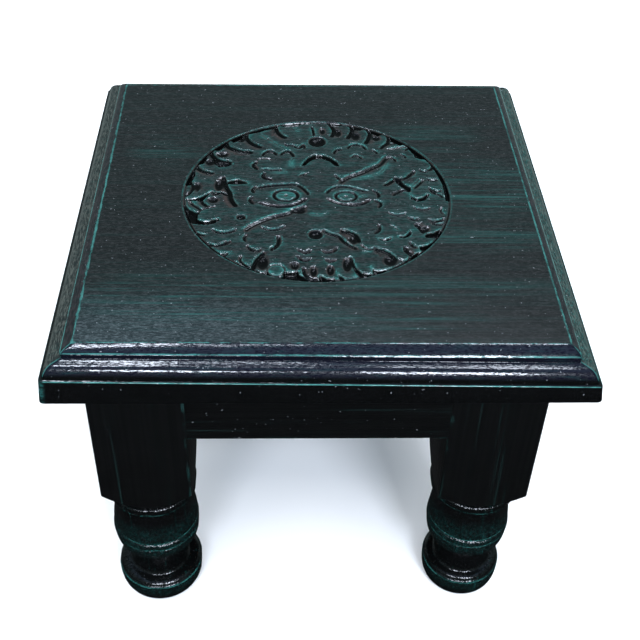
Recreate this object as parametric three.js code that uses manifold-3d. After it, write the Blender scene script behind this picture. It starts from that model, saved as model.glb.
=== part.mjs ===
// Low square table in the bajot form: a thick moulded top with a carved roundel,
// carried on four legs that are square above and turned below, joined by four
// aprons that are tenoned into the legs. Millimetres, +Z up, the front towards -Y,
// the origin on the floor under the middle of the top.

import * as THREE from 'three';
import { mergeVertices } from 'three/addons/utils/BufferGeometryUtils.js';
import Module from 'manifold-3d';

const wasm = await Module();
wasm.setup();

// Overall sizes
const table_width = 305;
const table_depth = 305;
const table_height = 254;
const joint_gap = 0.3;
const cut_overrun = 2;

// Top board: its upright edge, and the mouldings that climb from it to the field
const edge_height = 14.4;
const edge_corner_radius = 2.2;
const edge_lower_radius = 1.6;
const quirk_width = 1;
const quirk_rise = 0.2;
const lower_ovolo_width = 6;
const lower_ovolo_height = 7.9;
const ledge_width = 3.4;
const ledge_rise = 0.9;
const step_rise = 1.8;
const upper_ovolo_width = 6.2;
const upper_ovolo_height = 3.5;
const ovolo_bulge_share = 0.5;

// Carved roundel in the field of the top; it was set out a little off the middle
const roundel_radius = 85.6;
const roundel_shift_x = 0.8;
const roundel_shift_y = 2.2;
const rim_groove_width = 1.4;
const rim_groove_depth = 1.6;
const pocket_depth = 3.2;
const gouge_depth = 2;
const lobes_per_quarter = 7;
const petal_groove_width = 1.9;
const eye_radius = 5.6;
const eye_groove_width = 1.7;
const seed_radius = 6;
const stem_width = 4.4;
const scale_radius = 5;
const scale_width = 1.9;

// Legs: a square block above, then the turning that is cut into it
const leg_square = 56.6;
const leg_arris_radius = 1.2;
const overhang = 17;
const block_length = 104;
const shoulder_length = 13.8;
const notch_radius = 26.5;
const notch_length = 3.3;
const ring_radius = 29.2;
const ring_length = 11.6;
const waist_radius = 26.6;
const bulb_radius = 28.8;
const bulb_length = 41.6;
const bulb_end_radius = 26;
const bulb_line_depth = 0.9;
const bulb_line_width = 1.6;
const neck_radius = 17.5;
const foot_radius = 28.4;
const foot_height = 18.6;
const foot_bottom_radius = 20.8;
const foot_flank_radius = 21.5;
const foot_flank_rise = 3;

// Aprons between the legs, tenoned into them
const apron_height = 50;
const apron_thickness = 18;
const apron_reveal = 0.4;
const tenon_length = 22;
const tenon_thickness = 8;
const tenon_height = 34;
const mortise_play = 0.3;

// Cleats that hold the top to the aprons, and their countersunk screws
const cleat_square = 20;
const cleat_end_margin = 4;
const screw_length = 32;
const screw_shank_radius = 2;
const screw_head_radius = 4;
const screw_head_height = 2.6;
const screw_point_length = 4;
const screw_play = 0.3;
const pilot_end_play = 1;
const top_screw_share = 0.39;
const apron_screw_share = 0.2;

// Facets of the round shapes
const moulding_steps = 5;
const corner_steps = 3;
const leg_facets = 24;
const turning_steps = 3;
const screw_facets = 8;
const roundel_facets = 48;
const petal_steps = 5;
const carving_steps = 3;

// Heights and places that follow from the sizes above
const moulding_height = quirk_rise + lower_ovolo_height + ledge_rise + step_rise + upper_ovolo_height;
const arris_z = table_height - moulding_height;
const underside_z = arris_z - edge_height;
const frame_top_z = underside_z - joint_gap;
const block_bottom_z = underside_z - block_length;
const leg_x = table_width / 2 - overhang - leg_square / 2;
const leg_y = table_depth / 2 - overhang - leg_square / 2;
const tenon_offset = leg_square / 2 - apron_reveal - apron_thickness / 2;
const clear_x = 2 * leg_x - leg_square;
const clear_y = 2 * leg_y - leg_square;
const quarter_turn = Math.PI / 2;

// Finishes
const painted_wood = new THREE.MeshStandardMaterial({ color: 0x1a2323, roughness: 0.34, metalness: 0 });
const bare_wood = new THREE.MeshStandardMaterial({ color: 0x8a6642, roughness: 0.75, metalness: 0 });
const screw_steel = new THREE.MeshStandardMaterial({ color: 0x9a9a94, roughness: 0.4, metalness: 1 });

// Closed geometry to solid and back; triangles that shrink to nothing at a pole are left out
function solidOf(geometry) {
  const bare = geometry.clone();
  bare.deleteAttribute('normal');
  bare.deleteAttribute('uv');
  const merged = mergeVertices(bare);
  const vertProperties = Float32Array.from(merged.attributes.position.array);
  const corners = Array.from(merged.index.array);
  const kept = corners.filter((_, index) => {
    const first = index - index % 3;
    return new Set(corners.slice(first, first + 3)).size === 3;
  });
  const triVerts = Uint32Array.from(kept);
  return new wasm.Manifold(new wasm.Mesh({ numProp: 3, vertProperties, triVerts }));
}

function geometryOf(solid) {
  const mesh = solid.getMesh();
  const geometry = new THREE.BufferGeometry();
  geometry.setAttribute('position', new THREE.BufferAttribute(mesh.vertProperties, 3));
  geometry.setIndex(new THREE.BufferAttribute(mesh.triVerts, 1));
  const faceted = geometry.toNonIndexed();
  faceted.computeVertexNormals();
  return faceted;
}

function joined(solids) {
  return solids.reduce((whole, solid) => whole.add(solid));
}

function boxSolid(size, centre) {
  const geometry = new THREE.BoxGeometry(size.x, size.y, size.z);
  geometry.translate(centre.x, centre.y, centre.z);
  return solidOf(geometry);
}

// Plan outline cut down into the field, from above its surface
function planCut(shape, depth, curveSegments = carving_steps) {
  const options = { depth: depth + cut_overrun, bevelEnabled: false, curveSegments };
  const geometry = new THREE.ExtrudeGeometry(shape, options);
  geometry.translate(0, 0, table_height - depth);
  return geometry;
}

// Top board

// One edge of the board in section, from the underside up to the field
function edgeOutline(half_size) {
  const outline = new THREE.Path();
  let x = half_size - edge_lower_radius;
  let z = underside_z;
  outline.moveTo(x, z);
  outline.quadraticCurveTo(half_size, z, half_size, z + edge_lower_radius);
  outline.lineTo(half_size, arris_z);
  x = half_size - quirk_width;
  z = arris_z + quirk_rise;
  outline.lineTo(x, z);
  const ovoloTo = (width, height) => {
    const control_x = x - width * (1 - ovolo_bulge_share) / 2;
    const control_z = z + height * (1 + ovolo_bulge_share) / 2;
    x -= width;
    z += height;
    outline.quadraticCurveTo(control_x, control_z, x, z);
  };
  ovoloTo(lower_ovolo_width, lower_ovolo_height);
  x -= ledge_width;
  z += ledge_rise;
  outline.lineTo(x, z);
  z += step_rise;
  outline.lineTo(x, z);
  ovoloTo(upper_ovolo_width, upper_ovolo_height);
  return outline.getPoints(moulding_steps);
}

// The whole section, run along the board; two such runs crossed give the mitres
function mouldedRun(section_size, run_length) {
  const right = edgeOutline(section_size / 2);
  const left = right.map((point) => new THREE.Vector2(-point.x, point.y)).reverse();
  const section = new THREE.Shape([...right, ...left]);
  const geometry = new THREE.ExtrudeGeometry(section, { depth: run_length, bevelEnabled: false });
  geometry.rotateX(quarter_turn);
  geometry.translate(0, run_length / 2, 0);
  return geometry;
}

function roundedPlan(width, depth, radius) {
  const x = width / 2;
  const y = depth / 2;
  const plan = new THREE.Shape();
  plan.moveTo(x - radius, -y);
  plan.quadraticCurveTo(x, -y, x, radius - y);
  plan.lineTo(x, y - radius);
  plan.quadraticCurveTo(x, y, x - radius, y);
  plan.lineTo(radius - x, y);
  plan.quadraticCurveTo(-x, y, -x, y - radius);
  plan.lineTo(-x, radius - y);
  plan.quadraticCurveTo(-x, -y, radius - x, -y);
  return plan;
}

function boardSolid() {
  const across = solidOf(mouldedRun(table_width, table_depth + cut_overrun));
  const along_geometry = mouldedRun(table_depth, table_width + cut_overrun);
  along_geometry.rotateZ(quarter_turn);
  const plan = roundedPlan(table_width, table_depth, edge_corner_radius);
  const options = { depth: table_height, bevelEnabled: false, curveSegments: corner_steps };
  const corners = new THREE.ExtrudeGeometry(plan, options);
  return across.intersect(solidOf(along_geometry)).intersect(solidOf(corners));
}

// Carving. Places are shares of the roundel's radius, along and across one of its arms.
const pocket_half_angle_share = 0.36;
const pocket_tip_share = 0.87;
const pocket_waist_share = 0.94;
const vein_inner_share = 0.66;
const vein_outer_share = 0.88;
const vein_half_width_share = 0.016;
const vein_lean_share = 0.35;
const veins_per_side = 2;
const petal_inner_share = 0.07;
const petal_outer_share = 0.47;
const petal_half_width_share = 0.125;
const eye_share = 0.235;
const seed_share = 0.71;
const stem_shares = [[0.2, 0.15], [0.34, 0.25], [0.46, 0.36], [0.56, 0.5], [0.6, 0.58]];
const scale_shares = [[0.57, 0.13], [0.57, -0.13], [0.5, 0.32], [0.5, -0.32]];

function rimGroove() {
  const ring = new THREE.Shape().absarc(0, 0, roundel_radius, 0, 4 * quarter_turn);
  const core = new THREE.Path().absarc(0, 0, roundel_radius - rim_groove_width, 0, 4 * quarter_turn);
  ring.holes.push(core);
  return planCut(ring, rim_groove_depth, roundel_facets);
}

// Deep three-sided pocket between two leaf lobes, its broad side on the rim
function rimPocket(angle, pitch) {
  const half = pitch * pocket_half_angle_share;
  const tip = roundel_radius * pocket_tip_share;
  const waist = roundel_radius * pocket_waist_share;
  const at = (radius, turn) => [radius * Math.cos(angle + turn), radius * Math.sin(angle + turn)];
  const pocket = new THREE.Shape();
  pocket.moveTo(...at(roundel_radius, -half));
  pocket.lineTo(...at(roundel_radius, 0));
  pocket.lineTo(...at(roundel_radius, half));
  pocket.quadraticCurveTo(...at(waist, 0), ...at(tip, 0));
  pocket.quadraticCurveTo(...at(waist, 0), ...at(roundel_radius, -half));
  return planCut(pocket, pocket_depth);
}

// Narrow leaf-shaped cut between two points, bowed sideways by a share of its length
function leafCut(from, to, half_width, bow) {
  const along = new THREE.Vector2().subVectors(to, from);
  const across = new THREE.Vector2(-along.y, along.x).normalize();
  const middle = new THREE.Vector2().addVectors(from, to).multiplyScalar(1 / 2);
  middle.addScaledVector(across, bow * along.length());
  const cut = new THREE.Shape();
  cut.moveTo(from.x, from.y);
  const near = middle.clone().addScaledVector(across, -2 * half_width);
  const far = middle.clone().addScaledVector(across, 2 * half_width);
  cut.quadraticCurveTo(near.x, near.y, to.x, to.y);
  cut.quadraticCurveTo(far.x, far.y, from.x, from.y);
  return planCut(cut, gouge_depth);
}

function veinCut(angle, pitch, side) {
  const inner = roundel_radius * vein_inner_share;
  const outer = roundel_radius * vein_outer_share;
  const inner_angle = angle - side * pitch * vein_lean_share;
  const from = new THREE.Vector2(Math.cos(inner_angle), Math.sin(inner_angle)).multiplyScalar(inner);
  const to = new THREE.Vector2(Math.cos(angle), Math.sin(angle)).multiplyScalar(outer);
  return leafCut(from, to, roundel_radius * vein_half_width_share, side * vein_lean_share / 2);
}

// Almond petal left standing inside its groove
function almond(inner, outer, half_width, Outline) {
  const middle = (inner + outer) / 2;
  const outline = new Outline();
  outline.moveTo(inner, 0);
  outline.quadraticCurveTo(middle, -2 * half_width, outer, 0);
  outline.quadraticCurveTo(middle, 2 * half_width, inner, 0);
  return outline;
}

function petalGroove() {
  const inner = roundel_radius * petal_inner_share;
  const outer = roundel_radius * petal_outer_share;
  const half_width = roundel_radius * petal_half_width_share;
  const groove = almond(inner, outer, half_width, THREE.Shape);
  const core_inner = inner + 2 * petal_groove_width;
  const core_outer = outer - 2 * petal_groove_width;
  groove.holes.push(almond(core_inner, core_outer, half_width - petal_groove_width, THREE.Path));
  return planCut(groove, gouge_depth, petal_steps);
}

function eyeGroove() {
  const x = roundel_radius * eye_share;
  const ring = new THREE.Shape().absarc(x, 0, eye_radius, 0, 4 * quarter_turn);
  ring.holes.push(new THREE.Path().absarc(x, 0, eye_radius - eye_groove_width, 0, 4 * quarter_turn));
  return planCut(ring, gouge_depth, 2 * petal_steps);
}

function seedHollow() {
  const x = roundel_radius * seed_share;
  const seed = new THREE.Shape().absarc(x, 0, seed_radius, 0, 4 * quarter_turn);
  return planCut(seed, pocket_depth, 2 * petal_steps);
}

// Winding stem on the diagonal between two arms, narrow at both ends
function stemCut() {
  const points = stem_shares.map((share) => new THREE.Vector2(...share).multiplyScalar(roundel_radius));
  const curve = new THREE.SplineCurve(points);
  const steps = 2 * carving_steps;
  const sideAt = (index, side) => {
    const share = index / steps;
    const along = curve.getTangent(share);
    const reach = side * stem_width / 2 * Math.sin(Math.PI * share);
    return curve.getPoint(share).add(new THREE.Vector2(-along.y, along.x).multiplyScalar(reach));
  };
  const count = steps - 1;
  const near = Array.from({ length: count }, (_, index) => sideAt(index + 1, -1));
  const far = Array.from({ length: count }, (_, index) => sideAt(count - index, 1));
  return planCut(new THREE.Shape([points[0], ...near, points[points.length - 1], ...far]), gouge_depth);
}

// Fish-scale gouge: a crescent that opens towards the middle of the roundel
function scaleCut(share) {
  const x = roundel_radius * share[0];
  const y = roundel_radius * share[1];
  const crescent = new THREE.Shape();
  crescent.moveTo(x, y - scale_radius);
  crescent.absarc(x, y, scale_radius, -quarter_turn, quarter_turn);
  const half = scale_radius / 2;
  const reach = x + 2 * (scale_radius - scale_width) - half;
  crescent.bezierCurveTo(reach, y + half, reach, y - half, x, y - scale_radius);
  return planCut(crescent, gouge_depth, carving_steps);
}

function carvingCuts() {
  const cuts = [rimGroove()];
  const pitch = quarter_turn / lobes_per_quarter;
  for (let quarter = 0; quarter < 4; quarter += 1) {
    const arm_angle = quarter * quarter_turn;
    for (let lobe = 0; lobe < lobes_per_quarter; lobe += 1) {
      const step = lobe - (lobes_per_quarter - 1) / 2;
      cuts.push(rimPocket(arm_angle + step * pitch, pitch));
      if (step !== 0 && Math.abs(step) <= veins_per_side) {
        cuts.push(veinCut(arm_angle + step * pitch, pitch, Math.sign(step)));
      }
    }
    const arm_cuts = [petalGroove(), eyeGroove(), stemCut(), ...scale_shares.map(scaleCut)];
    if (quarter % 2 === 1) {
      arm_cuts.push(seedHollow());
    }
    arm_cuts.forEach((cut) => cut.rotateZ(arm_angle));
    cuts.push(...arm_cuts);
  }
  cuts.forEach((cut) => cut.translate(roundel_shift_x, roundel_shift_y, 0));
  return joined(cuts.map(solidOf));
}

// Legs

// Places along the bulb and the foot, as shares of their own lengths
const bulb_waist_share = 0.32;
const bulb_upper_line_share = 0.77;
const bulb_lower_line_share = 0.94;
const bulb_draw_share = 0.3;
const foot_side_share = 0.6;

// Turned outline from the middle of the sole up to above the shoulder, as radius and height
function turningOutline() {
  const shoulder_z = block_bottom_z - shoulder_length;
  const ring_top_z = shoulder_z - notch_length;
  const ring_bottom_z = ring_top_z - ring_length;
  const ring_middle_z = ring_bottom_z + ring_length / 2;
  const bulb_bottom_z = ring_bottom_z - bulb_length;
  const flank_z = foot_height + foot_flank_rise;
  const neck_z = (flank_z + bulb_bottom_z) / 2;
  const block_radius = leg_square * Math.SQRT1_2;
  const clear_radius = block_radius + cut_overrun;
  const line_half = bulb_line_width / 2;
  const waist_z = ring_bottom_z - bulb_length * bulb_waist_share;
  const upper_line_z = ring_bottom_z - bulb_length * bulb_upper_line_share;
  const lower_line_z = ring_bottom_z - bulb_length * bulb_lower_line_share;
  const drawn_radius = bulb_radius - (bulb_radius - bulb_end_radius) * bulb_draw_share;

  const path = new THREE.Path();
  path.moveTo(0, 0);
  path.lineTo(foot_bottom_radius, 0);
  path.quadraticCurveTo(foot_radius, 0, foot_radius, foot_height * foot_side_share);
  path.lineTo(foot_radius, foot_height);
  path.lineTo(foot_flank_radius, flank_z);
  path.quadraticCurveTo(neck_radius, flank_z, neck_radius, neck_z);
  path.quadraticCurveTo(neck_radius, bulb_bottom_z, bulb_end_radius, bulb_bottom_z);
  path.quadraticCurveTo(drawn_radius, bulb_bottom_z, drawn_radius, lower_line_z - line_half);
  path.lineTo(drawn_radius - bulb_line_depth, lower_line_z);
  path.lineTo(drawn_radius, lower_line_z + line_half);
  path.lineTo(bulb_radius, upper_line_z - line_half);
  path.lineTo(bulb_radius - bulb_line_depth, upper_line_z);
  path.lineTo(bulb_radius, upper_line_z + line_half);
  path.quadraticCurveTo(bulb_radius, waist_z, waist_radius, waist_z);
  path.lineTo(notch_radius, ring_bottom_z);
  path.quadraticCurveTo(ring_radius, ring_bottom_z, ring_radius, ring_middle_z);
  path.quadraticCurveTo(ring_radius, ring_top_z, notch_radius, ring_top_z);
  path.lineTo(notch_radius, shoulder_z);
  path.lineTo(block_radius, block_bottom_z);
  path.lineTo(clear_radius, block_bottom_z);
  path.lineTo(clear_radius, frame_top_z);
  path.lineTo(0, frame_top_z);
  return path.getPoints(turning_steps);
}

function uprightLathe(outline, facets) {
  const geometry = new THREE.LatheGeometry(outline, facets);
  geometry.rotateX(quarter_turn);
  return geometry;
}

// Blind mortises for the two aprons, in the faces towards +X and +Y
function mortiseSolids() {
  const depth = tenon_length - joint_gap + mortise_play;
  const length = depth + cut_overrun;
  const width = tenon_thickness + 2 * mortise_play;
  const height = tenon_height + 2 * mortise_play;
  const reach = leg_square / 2 - depth + length / 2;
  const z = frame_top_z - apron_height / 2;
  return [
    boxSolid(new THREE.Vector3(length, width, height), new THREE.Vector3(reach, -tenon_offset, z)),
    boxSolid(new THREE.Vector3(width, length, height), new THREE.Vector3(-tenon_offset, reach, z)),
  ];
}

// The square prism shows as the block above and as the flats on the beads and the foot
function legSolid() {
  const plan = roundedPlan(leg_square, leg_square, leg_arris_radius);
  const options = { depth: frame_top_z, bevelEnabled: false, curveSegments: corner_steps };
  const prism = solidOf(new THREE.ExtrudeGeometry(plan, options));
  const turned = solidOf(uprightLathe(turningOutline(), leg_facets));
  return turned.intersect(prism).subtract(joined(mortiseSolids()));
}

// Screws and their holes, drawn head down and point up
function screwOutline() {
  const shank_end = screw_length - screw_point_length;
  return [
    new THREE.Vector2(0, 0),
    new THREE.Vector2(screw_head_radius, 0),
    new THREE.Vector2(screw_shank_radius, screw_head_height),
    new THREE.Vector2(screw_shank_radius, shank_end),
    new THREE.Vector2(0, screw_length),
  ];
}

function screwHoleOutline() {
  const head_radius = screw_head_radius + screw_play;
  const shank_radius = screw_shank_radius + screw_play;
  const end = screw_length + pilot_end_play;
  return [
    new THREE.Vector2(0, -cut_overrun),
    new THREE.Vector2(head_radius, -cut_overrun),
    new THREE.Vector2(head_radius, 0),
    new THREE.Vector2(shank_radius, screw_head_height),
    new THREE.Vector2(shank_radius, end),
    new THREE.Vector2(0, end),
  ];
}

// Place of each screw on a cleat: up into the top, or outwards into the apron
function screwPlaces(side) {
  const places = [];
  for (const end of [-1, 1]) {
    const upright = new THREE.Matrix4().makeTranslation(
      end * side.top_screw_x,
      -side.cleat_y,
      frame_top_z - cleat_square,
    );
    const outward = new THREE.Matrix4().makeRotationX(quarter_turn);
    outward.setPosition(
      end * side.apron_screw_x,
      cleat_square / 2 - side.cleat_y,
      frame_top_z - cleat_square / 2,
    );
    places.push({ kind: 'top_screw', end, matrix: upright });
    places.push({ kind: 'apron_screw', end, matrix: outward });
  }
  return places;
}

function screwHoles(side, kind) {
  const holes = screwPlaces(side).filter((place) => kind === undefined || place.kind === kind);
  return joined(holes.map((place) => {
    const hole = uprightLathe(screwHoleOutline(), screw_facets);
    hole.applyMatrix4(place.matrix);
    return solidOf(hole);
  }));
}

// The four sides of the frame, each drawn as the front one and then turned into place
function sideOf(name, turn, clear_length, half_size) {
  const apron_y = half_size - overhang - apron_reveal - apron_thickness / 2;
  const cleat_y = apron_y - apron_thickness / 2 - joint_gap - cleat_square / 2;
  const cleat_length = clear_length - 2 * cleat_end_margin;
  const top_screw_x = cleat_length * top_screw_share;
  const apron_screw_x = cleat_length * apron_screw_share;
  return { name, turn, clear_length, apron_y, cleat_y, cleat_length, top_screw_x, apron_screw_x };
}

const sides = [
  sideOf('front', 0, clear_x, table_depth / 2),
  sideOf('right', quarter_turn, clear_y, table_width / 2),
  sideOf('back', 2 * quarter_turn, clear_x, table_depth / 2),
  sideOf('left', 3 * quarter_turn, clear_y, table_width / 2),
];

function apronSolid(side) {
  const length = side.clear_length - 2 * joint_gap;
  const centre = new THREE.Vector3(0, -side.apron_y, frame_top_z - apron_height / 2);
  const rail = boxSolid(new THREE.Vector3(length, apron_thickness, apron_height), centre);
  const tenon_span = length + 2 * tenon_length;
  const tenons = boxSolid(new THREE.Vector3(tenon_span, tenon_thickness, tenon_height), centre);
  return rail.add(tenons).subtract(screwHoles(side, 'apron_screw'));
}

function cleatSolid(side) {
  const size = new THREE.Vector3(side.cleat_length, cleat_square, cleat_square);
  const centre = new THREE.Vector3(0, -side.cleat_y, frame_top_z - cleat_square / 2);
  return boxSolid(size, centre).subtract(screwHoles(side));
}

function topSolid() {
  const pilots = sides.map((side) => {
    const geometry = geometryOf(screwHoles(side, 'top_screw'));
    geometry.rotateZ(side.turn);
    return solidOf(geometry);
  });
  return boardSolid().subtract(joined(pilots)).subtract(carvingCuts());
}

// Assembly

const table = new THREE.Group();

function addPiece(parent, name, geometry, material) {
  const piece = new THREE.Mesh(geometry, material);
  piece.name = name;
  parent.add(piece);
  return piece;
}

addPiece(table, 'top_board', geometryOf(topSolid()), painted_wood);

const leg_geometry = geometryOf(legSolid());
const corners = [
  { name: 'front_left', x: -leg_x, y: -leg_y },
  { name: 'front_right', x: leg_x, y: -leg_y },
  { name: 'back_right', x: leg_x, y: leg_y },
  { name: 'back_left', x: -leg_x, y: leg_y },
];
corners.forEach((corner, index) => {
  const leg = addPiece(table, `leg_${corner.name}`, leg_geometry, painted_wood);
  leg.position.set(corner.x, corner.y, 0);
  leg.rotation.z = index * quarter_turn;
});

for (const side of sides) {
  const frame_side = new THREE.Group();
  frame_side.rotation.z = side.turn;
  table.add(frame_side);
  addPiece(frame_side, `apron_${side.name}`, geometryOf(apronSolid(side)), painted_wood);
  addPiece(frame_side, `cleat_${side.name}`, geometryOf(cleatSolid(side)), bare_wood);
  for (const place of screwPlaces(side)) {
    const name = `${place.kind}_${side.name}_${place.end < 0 ? 1 : 2}`;
    const screw = addPiece(frame_side, name, uprightLathe(screwOutline(), screw_facets), screw_steel);
    screw.applyMatrix4(place.matrix);
  }
}

export default table;
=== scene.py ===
import math

import bmesh
import bpy
import numpy as np
from mathutils import Matrix, Vector


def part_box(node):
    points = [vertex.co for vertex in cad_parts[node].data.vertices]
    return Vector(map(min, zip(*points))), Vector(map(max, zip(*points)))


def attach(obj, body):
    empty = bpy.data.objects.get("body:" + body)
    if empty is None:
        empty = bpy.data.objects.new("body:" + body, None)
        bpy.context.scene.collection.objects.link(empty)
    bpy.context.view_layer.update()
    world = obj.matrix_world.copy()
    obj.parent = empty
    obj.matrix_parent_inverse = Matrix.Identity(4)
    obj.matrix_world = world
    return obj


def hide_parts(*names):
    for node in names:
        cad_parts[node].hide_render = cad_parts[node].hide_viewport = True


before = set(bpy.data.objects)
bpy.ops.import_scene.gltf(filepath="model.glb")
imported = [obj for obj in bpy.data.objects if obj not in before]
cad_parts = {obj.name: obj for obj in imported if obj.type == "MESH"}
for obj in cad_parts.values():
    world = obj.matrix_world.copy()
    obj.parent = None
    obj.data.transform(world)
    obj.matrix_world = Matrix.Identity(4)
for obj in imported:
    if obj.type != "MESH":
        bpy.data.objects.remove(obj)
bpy.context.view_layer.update()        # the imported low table: one body, root, in metres, +Z up, the front towards -Y

bl_info = {
    "name": "Bajot low table",
    "version": (1, 0, 0),
    "blender": (4, 5, 0),
    "location": "View3D > Sidebar > Low Table",
    "description": "Carved, turned and painted low table, built piece by piece round its packed frame",
    "category": "Add Mesh",
}

BODY = "root"
MM = 0.001
CORNERS = ("front_left", "front_right", "back_right", "back_left")
SIDES = ("front", "right", "back", "left")

TOP_LOW, TOP_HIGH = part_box("top_board")
LEG_LOW, LEG_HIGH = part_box("leg_back_right")
APRON_LOW, APRON_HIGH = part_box("apron_front")
LEG_X = (LEG_LOW.x + LEG_HIGH.x) / 2
LEG_Y = (LEG_LOW.y + LEG_HIGH.y) / 2
LEG_HALF = (LEG_HIGH.x - LEG_LOW.x) / 2


def length(name, description, default):
    """A size in metres, shown in the sidebar in the scene's own unit."""
    return bpy.props.FloatProperty(
        name=name, description=description, default=default, unit="LENGTH", subtype="DISTANCE", precision=5
    )


def colour(name, description, default):
    return bpy.props.FloatVectorProperty(
        name=name, description=description, default=default, size=3, min=0, max=1, subtype="COLOR"
    )


def amount(name, description, default):
    return bpy.props.FloatProperty(name=name, description=description, default=default)


class TopSizes(bpy.types.PropertyGroup):
    edge_height: length("Edge height", "Upright edge of the board, below the mouldings", 0.01451)
    corner_radius: length("Corner radius", "Round on the board's corners and mitres", 0.0022)
    lower_radius: length("Lower edge radius", "Round on the lower edge", 0.0013)
    arris_radius: length("Arris radius", "Round worn on each sharp line of the mouldings", 0.00035)
    quirk_width: length("Quirk width", "Flat between the edge and the lower ovolo", 0.0014)
    quirk_rise: length("Quirk rise", "Rise over the quirk", 0.00026)
    lower_ovolo_width: length("Lower ovolo width", "Width of the lower ovolo", 0.0051)
    lower_ovolo_height: length("Lower ovolo height", "Height of the lower ovolo", 0.00705)
    ledge_width: length("Ledge width", "Width of the ledge between the ovolos", 0.0043)
    ledge_rise: length("Ledge rise", "Rise over the ledge", 0.0004)
    step_rise: length("Step rise", "Upright step behind the ledge", 0.0026)
    upper_ovolo_width: length("Upper ovolo width", "Width of the upper ovolo", 0.00626)
    upper_ovolo_height: length("Upper ovolo height", "Height of the upper ovolo", 0.00378)


class RoundelSizes(bpy.types.PropertyGroup):
    radius: length("Roundel radius", "Outer wall of the carving", 0.0856)
    shift_x: length("Shift along X", "How far right of the middle it was set out", 0.0008)
    shift_y: length("Shift along Y", "How far behind the middle it was set out", 0.0022)
    border: length("Border", "Flat ring kept round the carving", 0.0016)
    cells: bpy.props.IntProperty(name="Cells", description="Cells across the carved ground", default=290)
    depth_scale: amount("Depth scale", "How deep the gouges go, against the drawn depths", 1.0)


class LegSizes(bpy.types.PropertyGroup):
    arris_radius: length("Arris radius", "Round on the edges of the square block", 0.0012)
    block_length: length("Block length", "Square block below the board", 0.104)
    shoulder_length: length("Shoulder length", "Cone turned under the block", 0.0138)
    notch_radius: length("Notch radius", "Radius of the notch under the shoulder", 0.0265)
    notch_length: length("Notch length", "Length of that notch", 0.0012)
    ring_radius: length("Ring radius", "Radius of the ring", 0.0292)
    ring_length: length("Ring length", "Length of the ring", 0.0068)
    groove_radius: length("Groove radius", "Radius of the groove under the ring", 0.0262)
    bulb_length: length("Bulb length", "Length from the ring to the foot of the bulb", 0.0484)
    bulb_end_radius: length("Bulb end radius", "Radius at the lower end of the bulb", 0.0260)
    upper_line_share: amount("Upper line", "Place of the upper line down the bulb", 0.644)
    lower_line_share: amount("Lower line", "Place of the lower line down the bulb", 0.772)
    line_depth: length("Line depth", "Depth of the two lines cut in the bulb", 0.0009)
    line_width: length("Line width", "Width of those lines", 0.0016)
    neck_radius: length("Neck radius", "Radius of the neck above the foot", 0.0175)
    foot_height: length("Foot height", "Height of the foot's side", 0.0194)
    foot_bottom_radius: length("Sole radius", "Radius of the sole", 0.0208)
    foot_flank_radius: length("Flank radius", "Radius where the flank meets the neck", 0.0215)
    foot_flank_rise: length("Flank rise", "Rise of the flank to the neck", 0.0030)


class FrameSizes(bpy.types.PropertyGroup):
    tenon_length: length("Tenon length", "Length of the apron tenons", 0.022)
    tenon_thickness: length("Tenon thickness", "Thickness of the apron tenons", 0.008)
    tenon_height: length("Tenon height", "Height of the apron tenons", 0.034)
    mortise_play: length("Mortise play", "Play round each tenon", 0.0003)
    rail_arris: length("Rail arris", "Round on the edges of aprons and cleats", 0.0009)
    screw_head_radius: length("Screw head radius", "Radius of the countersunk heads", 0.004)
    screw_head_height: length("Screw head height", "Height of the countersunk heads", 0.0026)
    screw_shank_radius: length("Screw shank radius", "Radius of the screws' shanks", 0.002)
    screw_length: length("Screw length", "Length over head and point", 0.032)
    screw_play: length("Screw play", "Play round the screws in the cleats", 0.0003)


class FinishSettings(bpy.types.PropertyGroup):
    topcoat: colour("Topcoat", "Near-black paint over all", (0.0015, 0.0017, 0.0018))
    undercoat: colour("Undercoat", "Sea-green undercoat where the black is rubbed", (0.010, 0.092, 0.084))
    undercoat_pale: colour("Pale undercoat", "Undercoat on the most rubbed lines", (0.070, 0.230, 0.215))
    primer: colour("Primer", "Brown ground seen in the carving", (0.040, 0.024, 0.022))
    bare_wood: colour("Bare wood", "Unpainted cleats", (0.300, 0.165, 0.078))
    screw_steel: colour("Screw steel", "Zinc-plated screws", (0.42, 0.42, 0.40))


class StageSettings(bpy.types.PropertyGroup):
    floor: colour("Floor", "Pale studio floor", (0.90, 0.90, 0.90))
    floor_size: length("Floor size", "Width of the floor", 12.0)
    zenith: colour("Zenith", "Soft light from overhead", (0.25, 0.37, 0.54))
    sky: colour("Sky", "Soft light from half-way up", (0.125, 0.175, 0.182))
    ground: colour("Ground", "Light from below the horizon", (0.012, 0.013, 0.014))
    ground_behind: colour("Ground behind", "The same, from behind the table", (0.20, 0.25, 0.25))
    backdrop: colour("Backdrop", "What shows past the floor", (0.80, 0.84, 0.87))
    focal_length: amount("Focal length", "Camera lens in millimetres", 59.19)


GROUPS = {
    "low_table_top": TopSizes,
    "low_table_roundel": RoundelSizes,
    "low_table_leg": LegSizes,
    "low_table_frame": FrameSizes,
    "low_table_finish": FinishSettings,
    "low_table_stage": StageSettings,
}


# Modelling helpers


def leave_edit_mode():
    if bpy.context.object is not None and bpy.context.object.mode != "OBJECT":
        bpy.ops.object.mode_set(mode="OBJECT")


def select_only(*pieces):
    """Selects these pieces alone, or none; the last one becomes the active one."""
    leave_edit_mode()
    bpy.ops.object.select_all(action="DESELECT")
    for piece in pieces:
        piece.select_set(True)
        bpy.context.view_layer.objects.active = piece


def edit(piece, kind="FACE"):
    select_only(piece)
    bpy.ops.object.mode_set(mode="EDIT")
    bpy.ops.mesh.select_mode(type=kind)
    bpy.ops.mesh.select_all(action="DESELECT")


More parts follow.
